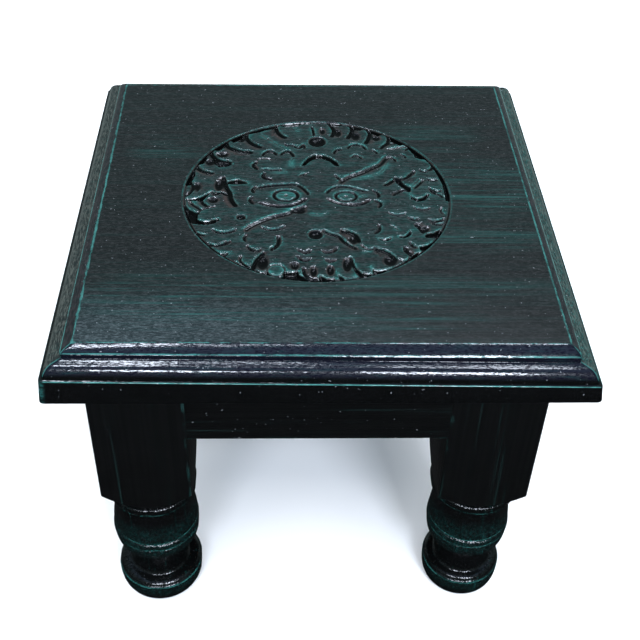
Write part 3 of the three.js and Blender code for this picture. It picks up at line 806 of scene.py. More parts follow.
# Gouged edges: the side the hollow falls to, how wide and how deep it is, and the line of its stop cut
EDGES = (
    # Leaf lobes at the back right
    ("e", 9, 2.4, [(8, 87), (10.5, 82), (12.5, 76), (12, 71), (10, 67)]),
    ("e", 10, 2.5, [(23, 84), (25, 79), (25, 74), (23, 69), (21, 65)]),
    ("e", 10, 2.5, [(34, 79), (37, 74), (37, 69), (35, 63), (33, 59)]),
    ("se", 8, 2.0, [(49, 72), (50, 66), (49, 61), (46, 57), (43, 53)]),
    ("e", 5, 1.8, [(63, 59), (64, 54), (67, 47), (67, 42)]),
    ("e", 4, 2.0, [(74, 40), (77, 34), (76, 30), (73, 28)]),
    # Leaf lobes at the back left
    ("sw", 9, 2.5, [(-26, 80), (-25, 74), (-22, 69), (-18, 66)]),
    ("sw", 8, 2.7, [(-46, 71), (-46, 66), (-43, 60), (-38, 56), (-35, 54)]),
    ("s", 8, 2.9, [(-60, 61), (-58, 55), (-52, 51), (-44, 49), (-41, 47.5)]),
    ("s", 8, 3.0, [(-70, 50), (-68, 44), (-64, 39), (-58, 37), (-55, 36)]),
    ("s", 7, 2.5, [(-79, 33), (-76, 28), (-71, 25), (-66, 24)]),
    ("w", 9, 2.7, [(-60, 20), (-58, 10), (-55, 2), (-54, -5), (-50, -13)]),
    # Lobes at the front left
    ("w", 6, 2.2, [(-73, -5), (-72, -9), (-68, -13)]),
    ("s", 4, 2.4, [(-84, -10), (-82, -15), (-77, -19), (-73, -20)]),
    ("se", 8, 2.6, [(-33, -57.5), (-36, -61.5), (-38.5, -66), (-40, -72), (-39.5, -75)]),
    ("sw", 4, 2.2, [(-43.5, -51.5), (-41, -55), (-37, -56.3), (-35, -54.5)]),
    ("se", 3, 2.2, [(-26, -42), (-25, -47), (-26.5, -52), (-30.5, -56)]),
    ("sw", 4, 2.0, [(-66, -52), (-64, -56), (-60, -59.5), (-54, -59)]),
    ("s", 4, 2.2, [(-68, -49.5), (-63, -51.5), (-58, -50), (-53, -47)]),
    ("e", 6, 2.0, [(-10.5, -72), (-9.5, -79), (-5, -83), (0, -84)]),
    ("w", 3, 1.6, [(-46, -61), (-47, -66), (-43, -71), (-40, -70)]),
    # Lobes at the front right
    ("sw", 8, 2.7, [(13, -36), (19, -38), (23, -41), (24.7, -45), (25, -49)]),
    ("sw", 8, 2.4, [(33, -53.5), (38, -55.5), (42, -58.5), (45, -62.5), (47, -66)]),
    ("s", 5, 2.2, [(2, -36), (7, -39.5), (12, -42), (16, -48), (20, -52), (24, -55)]),
    ("w", 3, 2.0, [(37.5, -30), (38.3, -34), (37, -38), (33.5, -40.5)]),
    ("e", 9, 2.4, [(59, -30), (62, -34), (64.5, -40)]),
    ("sw", 4, 2.0, [(55, -47), (57, -51), (60, -54)]),
    ("se", 7, 2.4, [(51, -52), (51.5, -56), (54, -60), (56, -62)]),
    ("s", 3, 1.6, [(47, -63), (50, -66), (53, -64.5), (54, -61)]),
    ("w", 5, 2.2, [(18.8, -62), (19.6, -68), (21, -73)]),
    ("s", 3, 2.0, [(68, -25), (72, -27), (76, -26), (79, -24)]),
    # Fish scales
    ("s", 3, 1.9, [(21.5, 52), (23, 56), (27, 58.5), (32, 57), (34.5, 53), (34.5, 51)]),
    ("s", 4, 2.1, [(12, 46), (13, 50), (16, 52.5), (19, 51.5)]),
    ("s", 3, 1.8, [(38, 52), (41, 50), (42.5, 46)]),
    ("s", 3, 1.8, [(23, 42), (26, 45), (28, 45), (31, 42), (32, 40.5)]),
    ("s", 3, 1.6, [(57, 47), (60, 45), (61.5, 41)]),
    ("s", 3, 1.8, [(50, 44), (53, 41), (54, 37)]),
    ("s", 4, 2.2, [(-36, 43), (-35, 47), (-31, 50), (-27, 48), (-25.5, 44)]),
    ("s", 4, 2.2, [(-24, 44), (-22, 48), (-18, 50), (-15, 46), (-14, 42)]),
    ("e", 4, 2.5, [(-39, 37.5), (-42, 33), (-40, 29), (-38, 27)]),
    ("e", 4, 2.5, [(-34, 25), (-35.5, 20), (-32, 16.5), (-28, 16)]),
    ("n", 3, 1.9, [(-14, -55.5), (-10, -58.8), (-7, -58.8), (-4, -55.5)]),
    ("n", 3, 1.9, [(1, -56.5), (4, -58.8), (9, -57.5), (11.5, -53)]),
    ("n", 3, 1.9, [(-14.5, -61.5), (-11, -65.8), (-7, -66.3), (-4.5, -63.5)]),
    ("n", 3, 1.9, [(2.5, -64), (6, -67.3), (10.5, -65.3)]),
    # Petals on the two side arms, and the scales at their ends
    ("s", 4, 1.9, [(5, 1), (9, 7), (14, 9.5), (20, 9.5), (28, 6), (34, 3.5)]),
    ("n", 4, 1.9, [(5, -4), (12, -9), (20, -11.5), (28, -10.5), (35, -5)]),
    ("w", 3.5, 2.2, [(35.5, 5.5), (39, 3), (40, -1), (38, -3)]),
    ("w", 3.5, 2.2, [(36, -5), (40, -7.5), (40.5, -11), (38, -14)]),
    ("s", 5, 2.0, [(-39, 7), (-34, 9.5), (-25, 11), (-15, 12), (-10, 9), (-6, 3), (-5, -1)]),
    ("n", 5, 2.1, [(-38, -9), (-30, -12.5), (-20, -13), (-12, -10), (-6, -4)]),
    ("e", 3.5, 2.2, [(-39.5, 9.5), (-42, 5), (-40, 1)]),
    ("e", 3.5, 2.2, [(-41, -2), (-43.5, -6), (-40, -11)]),
    # Outlines of the rounded leaf left of the boss, and hollows on the left
    ("s", 3, 1.8, [(-37, 27.5), (-33, 28.5), (-29, 27.5), (-25, 28.2), (-21.5, 27)]),
    ("n", 3, 1.2, [(-39, 37.5), (-36, 40), (-32, 39.5), (-28, 38)]),
    ("s", 4, 2.4, [(-68, 3.5), (-65, 1), (-62, 2.5), (-59, 1), (-56, -1)]),
    ("w", 3, 1.9, [(-83, 15), (-80.5, 12), (-79.5, 6), (-81, 1), (-84, -3)]),
    ("w", 2.5, 1.6, [(-78, 10), (-76, 6), (-77, 2)]),
    ("n", 3, 1.3, [(-76, -22), (-73, -17), (-68, -14.5), (-63, -13)]),
    ("w", 5, 1.6, [(-81, -6.5), (-79, -10), (-75, -14), (-72, -17)]),
    # Outlines on the right
    ("s", 3, 1.6, [(45, 54.5), (48, 58), (52, 60), (56, 59)]),
    ("s", 3, 1.4, [(47, 52.5), (54, 54), (60, 56), (64, 57)]),
    ("se", 2.5, 1.8, [(60, 50), (62, 53.5), (65, 55)]),
    ("w", 3, 1.9, [(73, 9.5), (75, 4), (79, 1), (82, -3)]),
    ("s", 3, 2.0, [(70, -28), (74, -30), (79, -29)]),
    ("w", 3, 1.5, [(79, -12), (78, -17), (80, -21)]),
    ("s", 3, 1.6, [(60, -12), (66, -15), (72, -13)]),
    ("s", 3, 1.6, [(44, -18), (50, -21), (56, -19)]),
    ("sw", 4, 1.8, [(56, -22), (60, -25), (64, -24)]),
    # Under the stretch of the left front that the light leaves dim
    ("s", 4, 1.8, [(-66, -36), (-60, -39), (-54, -38), (-50, -35)]),
    ("s", 4, 1.8, [(-77, -38), (-72, -41), (-68, -42)]),
    ("e", 4, 1.8, [(-44, -40), (-46, -45), (-44, -49)]),
    ("s", 3.5, 1.7, [(-36, -33), (-30, -36), (-24, -35), (-20, -32)]),
    # Base arcs of the back petal, and the leaf cluster on the right
    ("sw", 3, 1.9, [(11, 22.5), (13.5, 21), (15, 18), (16.5, 15.5)]),
    ("se", 3, 1.9, [(-12, 20), (-9, 22.8), (-5.5, 23.5)]),
    ("se", 5, 2.3, [(42.5, 10.5), (46, 13), (50, 17), (51.5, 20)]),
    ("s", 4, 2.1, [(51, 20.5), (54, 18.3), (58, 19.5), (62, 24), (65, 28)]),
    ("se", 4, 1.8, [(62, 7), (66, 12), (70, 18)]),
    ("s", 3, 2.0, [(68, 29), (71, 27), (75, 28)]),
    ("s", 3, 2.2, [(72, 19), (76, 17), (80, 18)]),
    ("s", 3, 2.2, [(73, 8), (77, 5), (81, 6)]),
    ("w", 4, 2.0, [(61, 3), (57, 5), (53, 3), (48, -1)]),
)

# Winding stems: a long sloping wall with chisel ticks, and the hollow below it
STEMS = (
    ("se", 6, 1.5, [(14, 12), (21, 19), (30, 24.5), (38, 30.5), (43.5, 35), (47, 41), (50, 44)]),
    ("se", 6, 1.4, [(-6, -12.5), (-13, -15.5), (-19, -20.5), (-27, -23.5), (-34, -27.5), (-41, -33), (-46, -39)]),
)
STEM_WALL = 2.8
STEM_TICK = 2.6                 # from one chisel tick to the next

# Fine lines: width, depth and the points on them
LINES = (
    (1.3, 0.8, [(20, 16), (28, 18), (36, 21), (43, 26), (46, 32), (48, 38)]),
    (2.2, 2.3, [(-2, 80), (-1, 75), (-0.5, 68)]),
    (1.6, 1.0, [(-38, 70), (-30, 62), (-25, 56), (-20, 52)]),
    (2.6, 2.0, [(-21, 58), (-19, 56.5), (-15, 56), (-11, 53), (-8, 57), (-7, 52.5)]),
    (1.3, 1.3, [(61, 19), (64, 23), (66, 27)]),
    (1.2, 1.2, [(60.5, 8.5), (64.5, 13.5), (68.5, 19)]),
    (1.6, 2.0, [(25, -50), (27.5, -54), (31, -55.3), (34, -53.5)]),
    (1.5, 1.2, [(44, -31), (47, -33.5), (50, -37)]),
    (1.2, 1.0, [(25, -57), (29, -57.8), (32, -57.5)]),
    (1.5, 1.6, [(-24, -42), (-23.5, -49), (-26.5, -54.5), (-31, -57.5)]),
    (1.2, 0.8, [(-14, 42), (-16, 38), (-16.5, 33), (-14, 29)]),
    (1.3, 0.8, [(-14.5, 79), (-12, 75.5), (-9, 73)]),
    (1.2, 0.8, [(-30, 24), (-24, 25), (-18, 24)]),
    (1.2, 0.9, [(-6, -19), (-2, -21.5), (3, -21), (7, -18)]),
    (1.3, 1.0, [(-36, -58), (-33.5, -61), (-35, -66), (-37.5, -71)]),
    (1.2, 0.9, [(27, -3), (30, -1), (33, -1)]),
)

# Deep pockets: depth and outline
POCKETS = (
    # Between the lobes along the rim, from the back to the right
    (3.3, [(10, 87), (21, 83), (17, 81), (14, 80.5), (11, 83)]),
    (3.3, [(25, 83), (35, 78.5), (30, 76), (27, 78)]),
    (3.3, [(36, 79), (48, 71.5), (43, 69), (39, 73)]),
    (3.5, [(51, 69.5), (62, 59.5), (57, 57), (52, 62)]),
    (3.4, [(63, 58), (73, 44.5), (78.5, 33), (74, 40), (69, 41), (66, 47), (63, 53)]),
    (3.2, [(77, 33), (80, 22), (82, 12), (82.4, 0), (82, -6), (84.4, -6), (85, 2), (84.6, 12), (82.5, 22), (79, 33)]),
    (3.2, [(60, 6), (60, 2), (61.5, -2), (64, -3.5), (68, -2), (71, 2), (72.5, 1), (69, -5.5), (64, -7), (60, -4)]),
    (3.2, [(52, 19.5), (55, 17), (57, 12), (61, 8.5), (60.5, 4.5), (56, 8), (52, 13.5)]),
    # From the back to the left
    (3.4, [(-1.5, 85.5), (-12, 84.8), (-23, 82), (-24, 80.5), (-18, 79), (-12, 80), (-8, 83), (-3, 83)]),
    (3.4, [(-24, 82), (-35, 78), (-46, 72), (-44, 70), (-38, 72), (-33, 75), (-26, 78)]),
    (3.4, [(-47, 71.5), (-58, 63), (-55, 59), (-52, 61), (-50, 66)]),
    (3.4, [(-60, 61), (-69, 50.5), (-64, 49), (-61, 54)]),
    (3.4, [(-71, 48), (-78.5, 34), (-75, 33), (-72, 41)]),
    (3.4, [(-80, 30), (-84.8, 11), (-82, 9), (-79, 21)]),
    (3.3, [(-69, 44), (-65, 38), (-58, 35.5), (-55, 34), (-58, 31), (-64, 30), (-67, 35)]),
    (3.2, [(-58, 14), (-52, 16.5), (-46, 14), (-44, 12), (-50, 11), (-57, 11)]),
    # Front left
    (3.2, [(-84, -4.5), (-80, -5), (-75, -3.5), (-71, -0.5), (-68, 3.5), (-69, -0.5), (-72, -5.5), (-74, -7.5),
           (-83, -6.5)]),
    (3.3, [(-84, -14), (-82, -16), (-77, -19), (-75, -21), (-75, -26), (-71, -28.5), (-67, -27.5), (-62, -25),
           (-61, -27), (-64, -30), (-70, -32), (-77, -31), (-80, -27), (-82, -20)]),
    (2.8, [(-63, -58.5), (-60, -60), (-55, -59), (-53, -58), (-56, -61.5), (-57, -63.8), (-60, -61.5)]),
    (3.2, [(-49, -67), (-48, -70), (-44, -72), (-40, -73), (-40.5, -75.3), (-44, -73.8), (-48, -71.2), (-50, -69)]),
    (3.2, [(-40, -75.3), (-36, -76.5), (-33, -76.5), (-31, -75.5), (-30, -79.5), (-34, -78.8), (-39, -76.5)]),
    (3.5, [(-21.5, -76), (-17, -76.5), (-13, -75.5), (-12.5, -79), (-10.5, -80), (-7, -82.5), (-3, -84), (-3, -85.6),
           (-12, -84.8), (-19, -83.4), (-24, -82), (-22, -80)]),
    # Front right
    (3.3, [(-0.5, -79), (3, -82), (7, -82.5), (8.5, -81.5), (8, -85.3), (0, -85.6), (-1, -82)]),
    (3.3, [(9.5, -75.5), (11, -79), (14, -82.5), (18, -82.6), (21, -81.5), (22, -82.5), (14, -84.4), (11, -82.5)]),
    (3.4, [(18.6, -62), (19.8, -68), (21.5, -73), (24, -76.8), (28, -78), (29.5, -77.5), (30, -80), (25, -81.8),
           (22, -79.5), (20, -75)]),
    (3.4, [(30, -71), (31, -74), (34, -75), (38, -74.2), (41, -74), (44, -72), (41, -75), (36, -77.6), (31.5, -79)]),
    (3.3, [(65, -41), (67, -39.5), (71, -38.5), (75.5, -35), (75.8, -39), (72.5, -44), (68, -44), (66, -43.5)]),
    (3.3, [(60.5, -52), (63, -51.8), (66, -50.5), (69, -48), (70.5, -47.5), (66, -54), (63, -57), (61, -55)]),
    (3.0, [(56, -60), (59, -58), (61, -57.5), (59.5, -61), (56, -64), (54, -63)]),
    (3.0, [(35.5, -43.3), (38, -44.8), (41, -45), (44.8, -43), (43.8, -46), (40.5, -47.3), (37.3, -46.2)]),
    (3.0, [(48.5, -42.2), (52, -42.5), (54.5, -40), (56.5, -36.2), (57.2, -39), (55.8, -42.3), (52.5, -44.3),
           (49.3, -43.6)]),
    # Crescent round the boss at the back
    (3.5, [(-10, 32), (-8, 37), (-5, 42), (0, 45.5), (5, 45.3), (10, 42), (14, 37.5), (16, 31.5), (12.5, 33), (10, 37),
           (6, 39.8), (2, 40.5), (-2, 39.3), (-5, 36.5), (-7, 33)]),
)

# Rings: middle, two radii, width, depth; bowls: middle, two radii, depth
RINGS = (
    ((18.5, -1.5), (6.6, 5.0), 2.2, 2.0),
    ((-20, -1), (7.6, 5.8), 2.5, 2.2),
    ((-26, -75), (5.2, 5.2), 1.5, 1.3),
)
BOWLS = (
    ((1.5, 61), (6.3, 6.3), 2.5),
    ((-2, -41), (4.8, 4.8), 2.2),
    ((-48, -24), (3.2, 2.8), 1.9),
    ((18.5, -1.5), (1.6, 1.6), 0.8),
    ((-20, -1), (1.8, 1.8), 0.8),
)

# Soft hollows that run out into the lands: middle, two radii, depth
DISHES = (
    ((6, -75), (3.2, 6), 1.8),
    ((16, -70), (3.6, 8), 2.0),
    ((-15, -71), (4, 4.5), 1.5),
    ((-4, -76), (3, 6), 1.8),
    ((21, -46), (4, 6), 1.6),
    ((42, -66), (6, 6), 1.8),
    ((-34, -68), (5, 9), 1.8),
    ((66, -35), (4, 4), 1.6),
    ((-63, 10), (4, 8), 2.0),
    ((-66, -6), (5, 4), 1.6),
    ((-12, -17), (7, 4), 1.6),
    ((-78, -26), (4, 6), 1.4),
    ((28, 68), (5, 7), 1.5),
    ((16, 72), (4, 7), 1.5),
    ((42, 66), (5, 5), 1.4),
    ((-50, 64), (4, 5), 1.6),
    ((-62, 45), (6, 4), 1.6),
    ((-70, 36), (5, 5), 1.6),
    ((5.5, 74), (3.5, 6), 1.3),
    ((-77, 8), (5, 7), 1.2),
)

# Rows of small punched ticks: radius, count and the line they follow
TICKS = (
    (0.9, 8, [(-54, 46), (-51, 44.5), (-47, 45)]),
    (0.9, 7, [(12, 11.5), (17, 11.8), (23, 11)]),
    (0.8, 9, [(-23, 12.8), (-17, 13.6), (-11, 12)]),
    (1.0, 9, [(-6.5, 32), (-3, 28), (3, 26.5), (9, 28), (12, 32)]),
    (0.9, 8, [(20, -9), (25, -9.5), (30, -9)]),
    (0.9, 5, [(-72, 22), (-69, 20.5), (-66, 22)]),
    (1.1, 6, [(33, -56), (35.5, -59), (36.5, -62)]),
    (1.1, 6, [(13, -39), (16, -42), (18, -46)]),
    (1.0, 5, [(50, -6), (53, -8), (56, -5)]),
    (1.0, 5, [(-82, -18), (-81, -23), (-79, -28)]),
    (0.9, 5, [(27, 78), (30, 76.5), (33, 76)]),
    (0.9, 5, [(55, 9), (53.5, 5), (56, 2)]),
    (0.9, 5, [(-32, 64), (-29, 69), (-28, 73)]),
)
TICK_DEPTH = 0.9
OUTER_GROOVE = 1.7              # depth of the groove inside the outer wall
LAND_DEPTH, LAND_RIPPLE = 0.10, 0.07
DEEPEST = 3.0                   # depth at which the finish takes a cut as wholly hollow
WASH_PASSES = 16


def ease_in(value):
    value = np.clip(value, 0, 1)
    return value * value * (3 - 2 * value)


def drawn_curve(points, spacing=0.7):
    """Smooth curve through given points."""
    knots = np.array([points[0], *points, points[-1]], float)
    stretch = []
    for before, start, end, after in zip(knots, knots[1:], knots[2:], knots[3:]):
        count = max(2, int(np.linalg.norm(end - start) / spacing))
        t = np.linspace(0, 1, count, endpoint=False)[:, None]
        bend = 2 * before - 5 * start + 4 * end - after
        twist = 3 * start - before - 3 * end + after
        stretch.append((2 * start + (end - before) * t + bend * t ** 2 + twist * t ** 3) / 2)
    stretch.append(knots[-1:])
    return np.vstack(stretch)


def along_line(line, places):
    """Distance to a line, the side of it, the share of it passed, and its length."""
    gap = np.full(len(places), np.inf)
    side = np.ones(len(places))
    share = np.zeros(len(places))
    steps = np.diff(line, axis=0)
    lengths = np.hypot(steps[:, 0], steps[:, 1])
    passed = np.concatenate([[0], np.cumsum(lengths)])
    for start, step, size, before in zip(line, steps, lengths, passed):
        t = np.clip(((places - start) @ step) / max(size, 1e-9) ** 2, 0, 1)
        offset = places - start - t[:, None] * step
        away = np.hypot(offset[:, 0], offset[:, 1])
        nearer = away < gap
        gap[nearer] = away[nearer]
        side[nearer] = np.sign(step[0] * offset[nearer, 1] - step[1] * offset[nearer, 0])
        share[nearer] = (before + t[nearer] * size) / passed[-1]
    return gap, side, share, passed[-1]


def tapered(share, run, length):
    """One along a stroke, falling to nothing over a length at both of its ends."""
    return np.clip(np.minimum(share, 1 - share) * run / length, 0, 1)


def oval(places, middle, radii):
    offset = (places - np.array(middle)) / np.array(radii)
    return np.hypot(offset[:, 0], offset[:, 1])


def rim_at(away):
    """Rubbed rim, strongest at no distance from its line."""
    return ease_in(1 - np.abs(away) / RIM_WIDTH)


class Carving:
    """Places on the roundel, how deep each is cut and how much it is rubbed as a rim, all in millimetres."""

    def __init__(self, places):
        self.places = places
        self.depths = np.zeros(len(places))
        self.rims = np.zeros(len(places))

    def near(self, line, reach):
        low, high = line.min(0) - reach, line.max(0) + reach
        return np.flatnonzero(np.all((self.places > low) & (self.places < high), axis=1))

    def dig(self, depths, rims=0.0, chosen=slice(None)):
        self.depths[chosen] = np.maximum(self.depths[chosen], depths)
        self.rims[chosen] = np.maximum(self.rims[chosen], rims)

    def gouge(self, towards, reach, depth, points, wall=WALL, tick=0.0):
        """Stop cut with a steep wall on one side and a hollow that rises slowly on the other."""
        line = drawn_curve(points)
        chosen = self.near(line, reach)
        gap, side, share, run = along_line(line, self.places[chosen])
        middle = len(line) // 2
        heading = line[middle] - line[middle - 1]
        hollow_side = np.sign(heading[0] * COMPASS[towards][1] - heading[1] * COMPASS[towards][0])
        broad = np.clip(1 - gap / reach, 0, 1)
        deep = np.clip(1 - gap / (DEEP_WIDTH + reach / 8), 0, 1) ** 1.3
        hollow = BROAD_SHARE * broad + (1 - BROAD_SHARE) * deep
        steep = ease_in(1 - gap / wall)
        taper = tapered(share, run, 2.5) ** 0.7
        if tick:
            steep = steep * (1 - 0.35 * np.sin(share * run * 2 * math.pi / tick) ** 2)
        in_hollow = side * hollow_side > 0
        depths = depth * taper * np.where(in_hollow, hollow, steep)
        self.dig(depths, rim_at(gap - wall) * np.where(in_hollow, 0, taper), chosen)

    def stem(self, towards, reach, depth, points):
        self.gouge(towards, reach, depth, points, STEM_WALL, STEM_TICK)

    def fine_line(self, width, depth, points):
        line = drawn_curve(points)
        chosen = self.near(line, width + RIM_WIDTH)
        gap, _, share, run = along_line(line, self.places[chosen])
        taper = tapered(share, run, 1.5)
        self.dig(depth * taper * ease_in(1 - 2 * gap / width), 0.7 * taper * rim_at(gap - width / 2 - 0.3), chosen)

    def pocket(self, depth, points):
        """Straight-walled pocket with a slightly uneven floor."""
        ring = np.array([*points, points[0]], float)
        chosen = self.near(ring, RIM_WIDTH * 2)
        spots = self.places[chosen]
        inside = np.zeros(len(spots), bool)
        for (x1, y1), (x2, y2) in zip(ring, ring[1:]):
            crosses = (y1 > spots[:, 1]) != (y2 > spots[:, 1])
            slope = (x2 - x1) / (y2 - y1) if y1 != y2 else 0.0
            inside ^= crosses & (spots[:, 0] < x1 + (spots[:, 1] - y1) * slope)
        gap = along_line(ring, spots)[0]
        floor = depth + 0.25 * np.sin(spots[:, 0] * 1.9) * np.sin(spots[:, 1] * 2.3)
        self.dig(floor * ease_in(gap / WALL) * inside, rim_at(gap - 0.2) * ~inside, chosen)

    def ring(self, middle, radii, width, depth):
        away = np.abs(oval(self.places, middle, radii) - 1) * sum(radii) / 2
        self.dig(depth * ease_in(1 - 2 * away / width), 0.8 * rim_at(away - width / 2 - 0.3))

    def bowl(self, middle, radii, depth):
        away = oval(self.places, middle, radii)
        self.dig(depth * np.clip(1 - away ** 2, 0, 1) ** 0.6, 0.6 * rim_at((away - 1) * radii[0] - 0.3))

    def dish(self, middle, radii, depth):
        self.dig(depth * ease_in(1.15 - oval(self.places, middle, radii)))

    def punch(self, radius, count, points):
        """Row of ticks, each driven deeper into what is there."""
        line = drawn_curve(points, 0.2)
        for share in np.linspace(0, 1, count):
            spot = line[int(share * (len(line) - 1))]
            self.depths += TICK_DEPTH * ease_in(1 - oval(self.places, spot, (radius, radius)))

    def edge_round(self):
        """Groove inside the outer wall, faint ripples on the lands, and plain wood past the wall."""
        from_middle = np.hypot(self.places[:, 0], self.places[:, 1])
        inside = ease_in((CARVING_RADIUS - from_middle) / 0.6)
        groove = OUTER_GROOVE * ease_in((from_middle - CARVING_RADIUS + 2.2) / 1.6)
        x, y = self.places.T
        lands = LAND_DEPTH + LAND_RIPPLE * np.sin(x * 0.9 + 1.3 * np.sin(y * 0.5))
        self.dig(np.maximum(groove, lands) * inside, 0.9 * rim_at(from_middle - CARVING_RADIUS - 0.3))
        self.rims *= ease_in(1.4 - self.depths / 0.8) * ease_in((CARVING_RADIUS + 1.2 - from_middle) / 0.5)
        self.depths *= inside

    def cut_all(self):
        for stroke, rows in (
            (self.dish, DISHES), (self.gouge, EDGES), (self.stem, STEMS), (self.fine_line, LINES),
            (self.pocket, POCKETS), (self.ring, RINGS), (self.bowl, BOWLS), (self.punch, TICKS),
        ):
            for row in rows:
                stroke(*row)
        self.edge_round()


def softened(field, passes):
    """Average of each value with its eight neighbours, some times over."""
    for _ in range(passes):
        padded = np.pad(field, 1, mode="edge")
        rows = padded[:-2] + padded[1:-1] + padded[2:]
        field = (rows[:, :-2] + rows[:, 1:-1] + rows[:, 2:]) / 9
    return field


def carved_disc(roundel):
    """Grid primitive drawn round into a disc and carved."""
    select_only()
    cells = roundel.cells
    bpy.ops.mesh.primitive_grid_add(x_subdivisions=cells, y_subdivisions=cells, size=2)
    disc = named(bpy.context.object, "carved_disc")
    spots = places_of(disc.data)
    u, v = spots[:, 0].copy(), spots[:, 1].copy()
    unit = roundel.radius / CARVING_RADIUS
    reach = roundel.radius + roundel.border
    spots[:, 0] = u * np.sqrt(1 - v * v / 2) * reach
    spots[:, 1] = v * np.sqrt(1 - u * u / 2) * reach
    carving = Carving(spots[:, :2] / unit)
    carving.cut_all()
    grid = (cells + 1, cells + 1)
    depths = softened(carving.depths.reshape(grid), 1).ravel() * roundel.depth_scale
    spots[:, 0] += roundel.shift_x
    spots[:, 1] += roundel.shift_y
    spots[:, 2] = TOP_HIGH.z - depths * unit
    wash = softened(carving.rims.reshape(grid), WASH_PASSES).ravel()
    place_vertices(disc.data, spots, worn=carving.rims, wash=wash, hollow=np.clip(depths / DEEPEST, 0, 1))
    select_only(disc)
    bpy.ops.object.shade_smooth()
    return disc


# Slope in degrees and rise of each narrow band of the two ovolos, from below; the rises are in shares
LOWER_OVOLO = (
    (80, 0.90), (75, 0.90), (70, 0.90), (65, 0.90), (60, 0.90), (55, 0.80), (50, 0.35), (46, 0.30), (42, 0.27),
    (38, 0.23), (32, 0.16), (25, 0.12), (19, 0.09), (16, 0.08), (14, 0.08), (12, 0.07),
)
UPPER_OVOLO = (
    (80, 0.20), (72, 0.25), (66, 0.28), (61, 0.34), (56, 0.42), (51, 0.46), (46, 0.38), (40, 0.32), (34, 0.38),
    (29, 0.38), (25, 0.33), (21, 0.22), (17, 0.10), (15, 0.09), (13, 0.08),
)


def ovolo_bands(bands, width, height):
    """Width and rise of each band of an ovolo."""
    rises = np.array([rise for _, rise in bands])
    runs = rises / np.tan(np.radians([slope for slope, _ in bands]))
    return list(zip(runs * width / runs.sum(), rises * height / rises.sum()))


def moulding_rings(sizes):
    """Steps of width and rise from the board's edge up to its field."""
    return (
        [(sizes.quirk_width, sizes.quirk_rise)]
        + ovolo_bands(LOWER_OVOLO, sizes.lower_ovolo_width, sizes.lower_ovolo_height)
        + [(sizes.ledge_width, sizes.ledge_rise), (0.0, sizes.step_rise)]
        + ovolo_bands(UPPER_OVOLO, sizes.upper_ovolo_width, sizes.upper_ovolo_height)
    )


def level_ring(height, inset):
    """Test for the edges of one moulding ring, by its height and its distance from the edge."""
    def test(edge):
        for vertex in edge.verts:
            away = TOP_HIGH.x - max(abs(vertex.co.x), abs(vertex.co.y))
            if abs(vertex.co.z - height) > 0.05 * MM or abs(away - inset) > 0.05 * MM:
                return False
        return True
    return test


def same_corner(edge):
    """Whether an edge lies at one corner of the board, and so isn't part of a ring round it."""
    first, second = edge.verts
    return first.co.x * second.co.x > 0 and first.co.y * second.co.y > 0


def moulded_board(sizes):
    """Cube primitive with its edges rounded and its mouldings drawn up from its top face."""
    arris_z = TOP_LOW.z + sizes.edge_height
    board = block("carved_top", TOP_LOW, (TOP_HIGH.x, TOP_HIGH.y, arris_z))
    edit(board)
    pick(board, "EDGE", lambda edge: all(vertex.co.z < TOP_LOW.z + 0.1 * MM for vertex in edge.verts))
    round_picked(sizes.lower_radius, 4)
    pick(board, "FACE", lambda face: face.normal.z > 0.9 and face.calc_center_median().z > arris_z - 0.1 * MM)
    inset, height = 0.0, arris_z
    worn_lines = [(arris_z, 0.0)]
    for width, rise in moulding_rings(sizes):
        if width > 0:
            bpy.ops.mesh.inset(thickness=width, depth=rise, use_even_offset=True)
        else:
            push_out((0, 0, rise))
            worn_lines.append((height, inset))
        inset += width
        height += rise
    worn_lines.append((height, inset))
    for line in worn_lines:
        pick(board, "EDGE", level_ring(*line))
        round_picked(sizes.arris_radius, 3)
    pick(board, "EDGE", same_corner)
    round_picked(sizes.corner_radius, 4)
    leave_edit_mode()
    return board


# How far the board runs out of true, in metres
FRONT_TWIST = 0.0145            # rise of the front mouldings towards the left, for each metre along them
TWIST_AT_ARRIS, TWIST_LOST = 1.08, 0.25
SIDE_STATIONS = (-TOP_HIGH.x, 0.0, TOP_HIGH.x)
LEFT_BULGE = (0.0001, -0.0008, -0.0011)
RIGHT_BULGE = (0.0022, 0.0002, -0.0008)
SIDE_LEAN, FRONT_LEAN = 0.0016, 0.0008
LEAN_REACH = 0.004


def step_between(value, low, high):
    return ease_in((value - low) / (high - low))


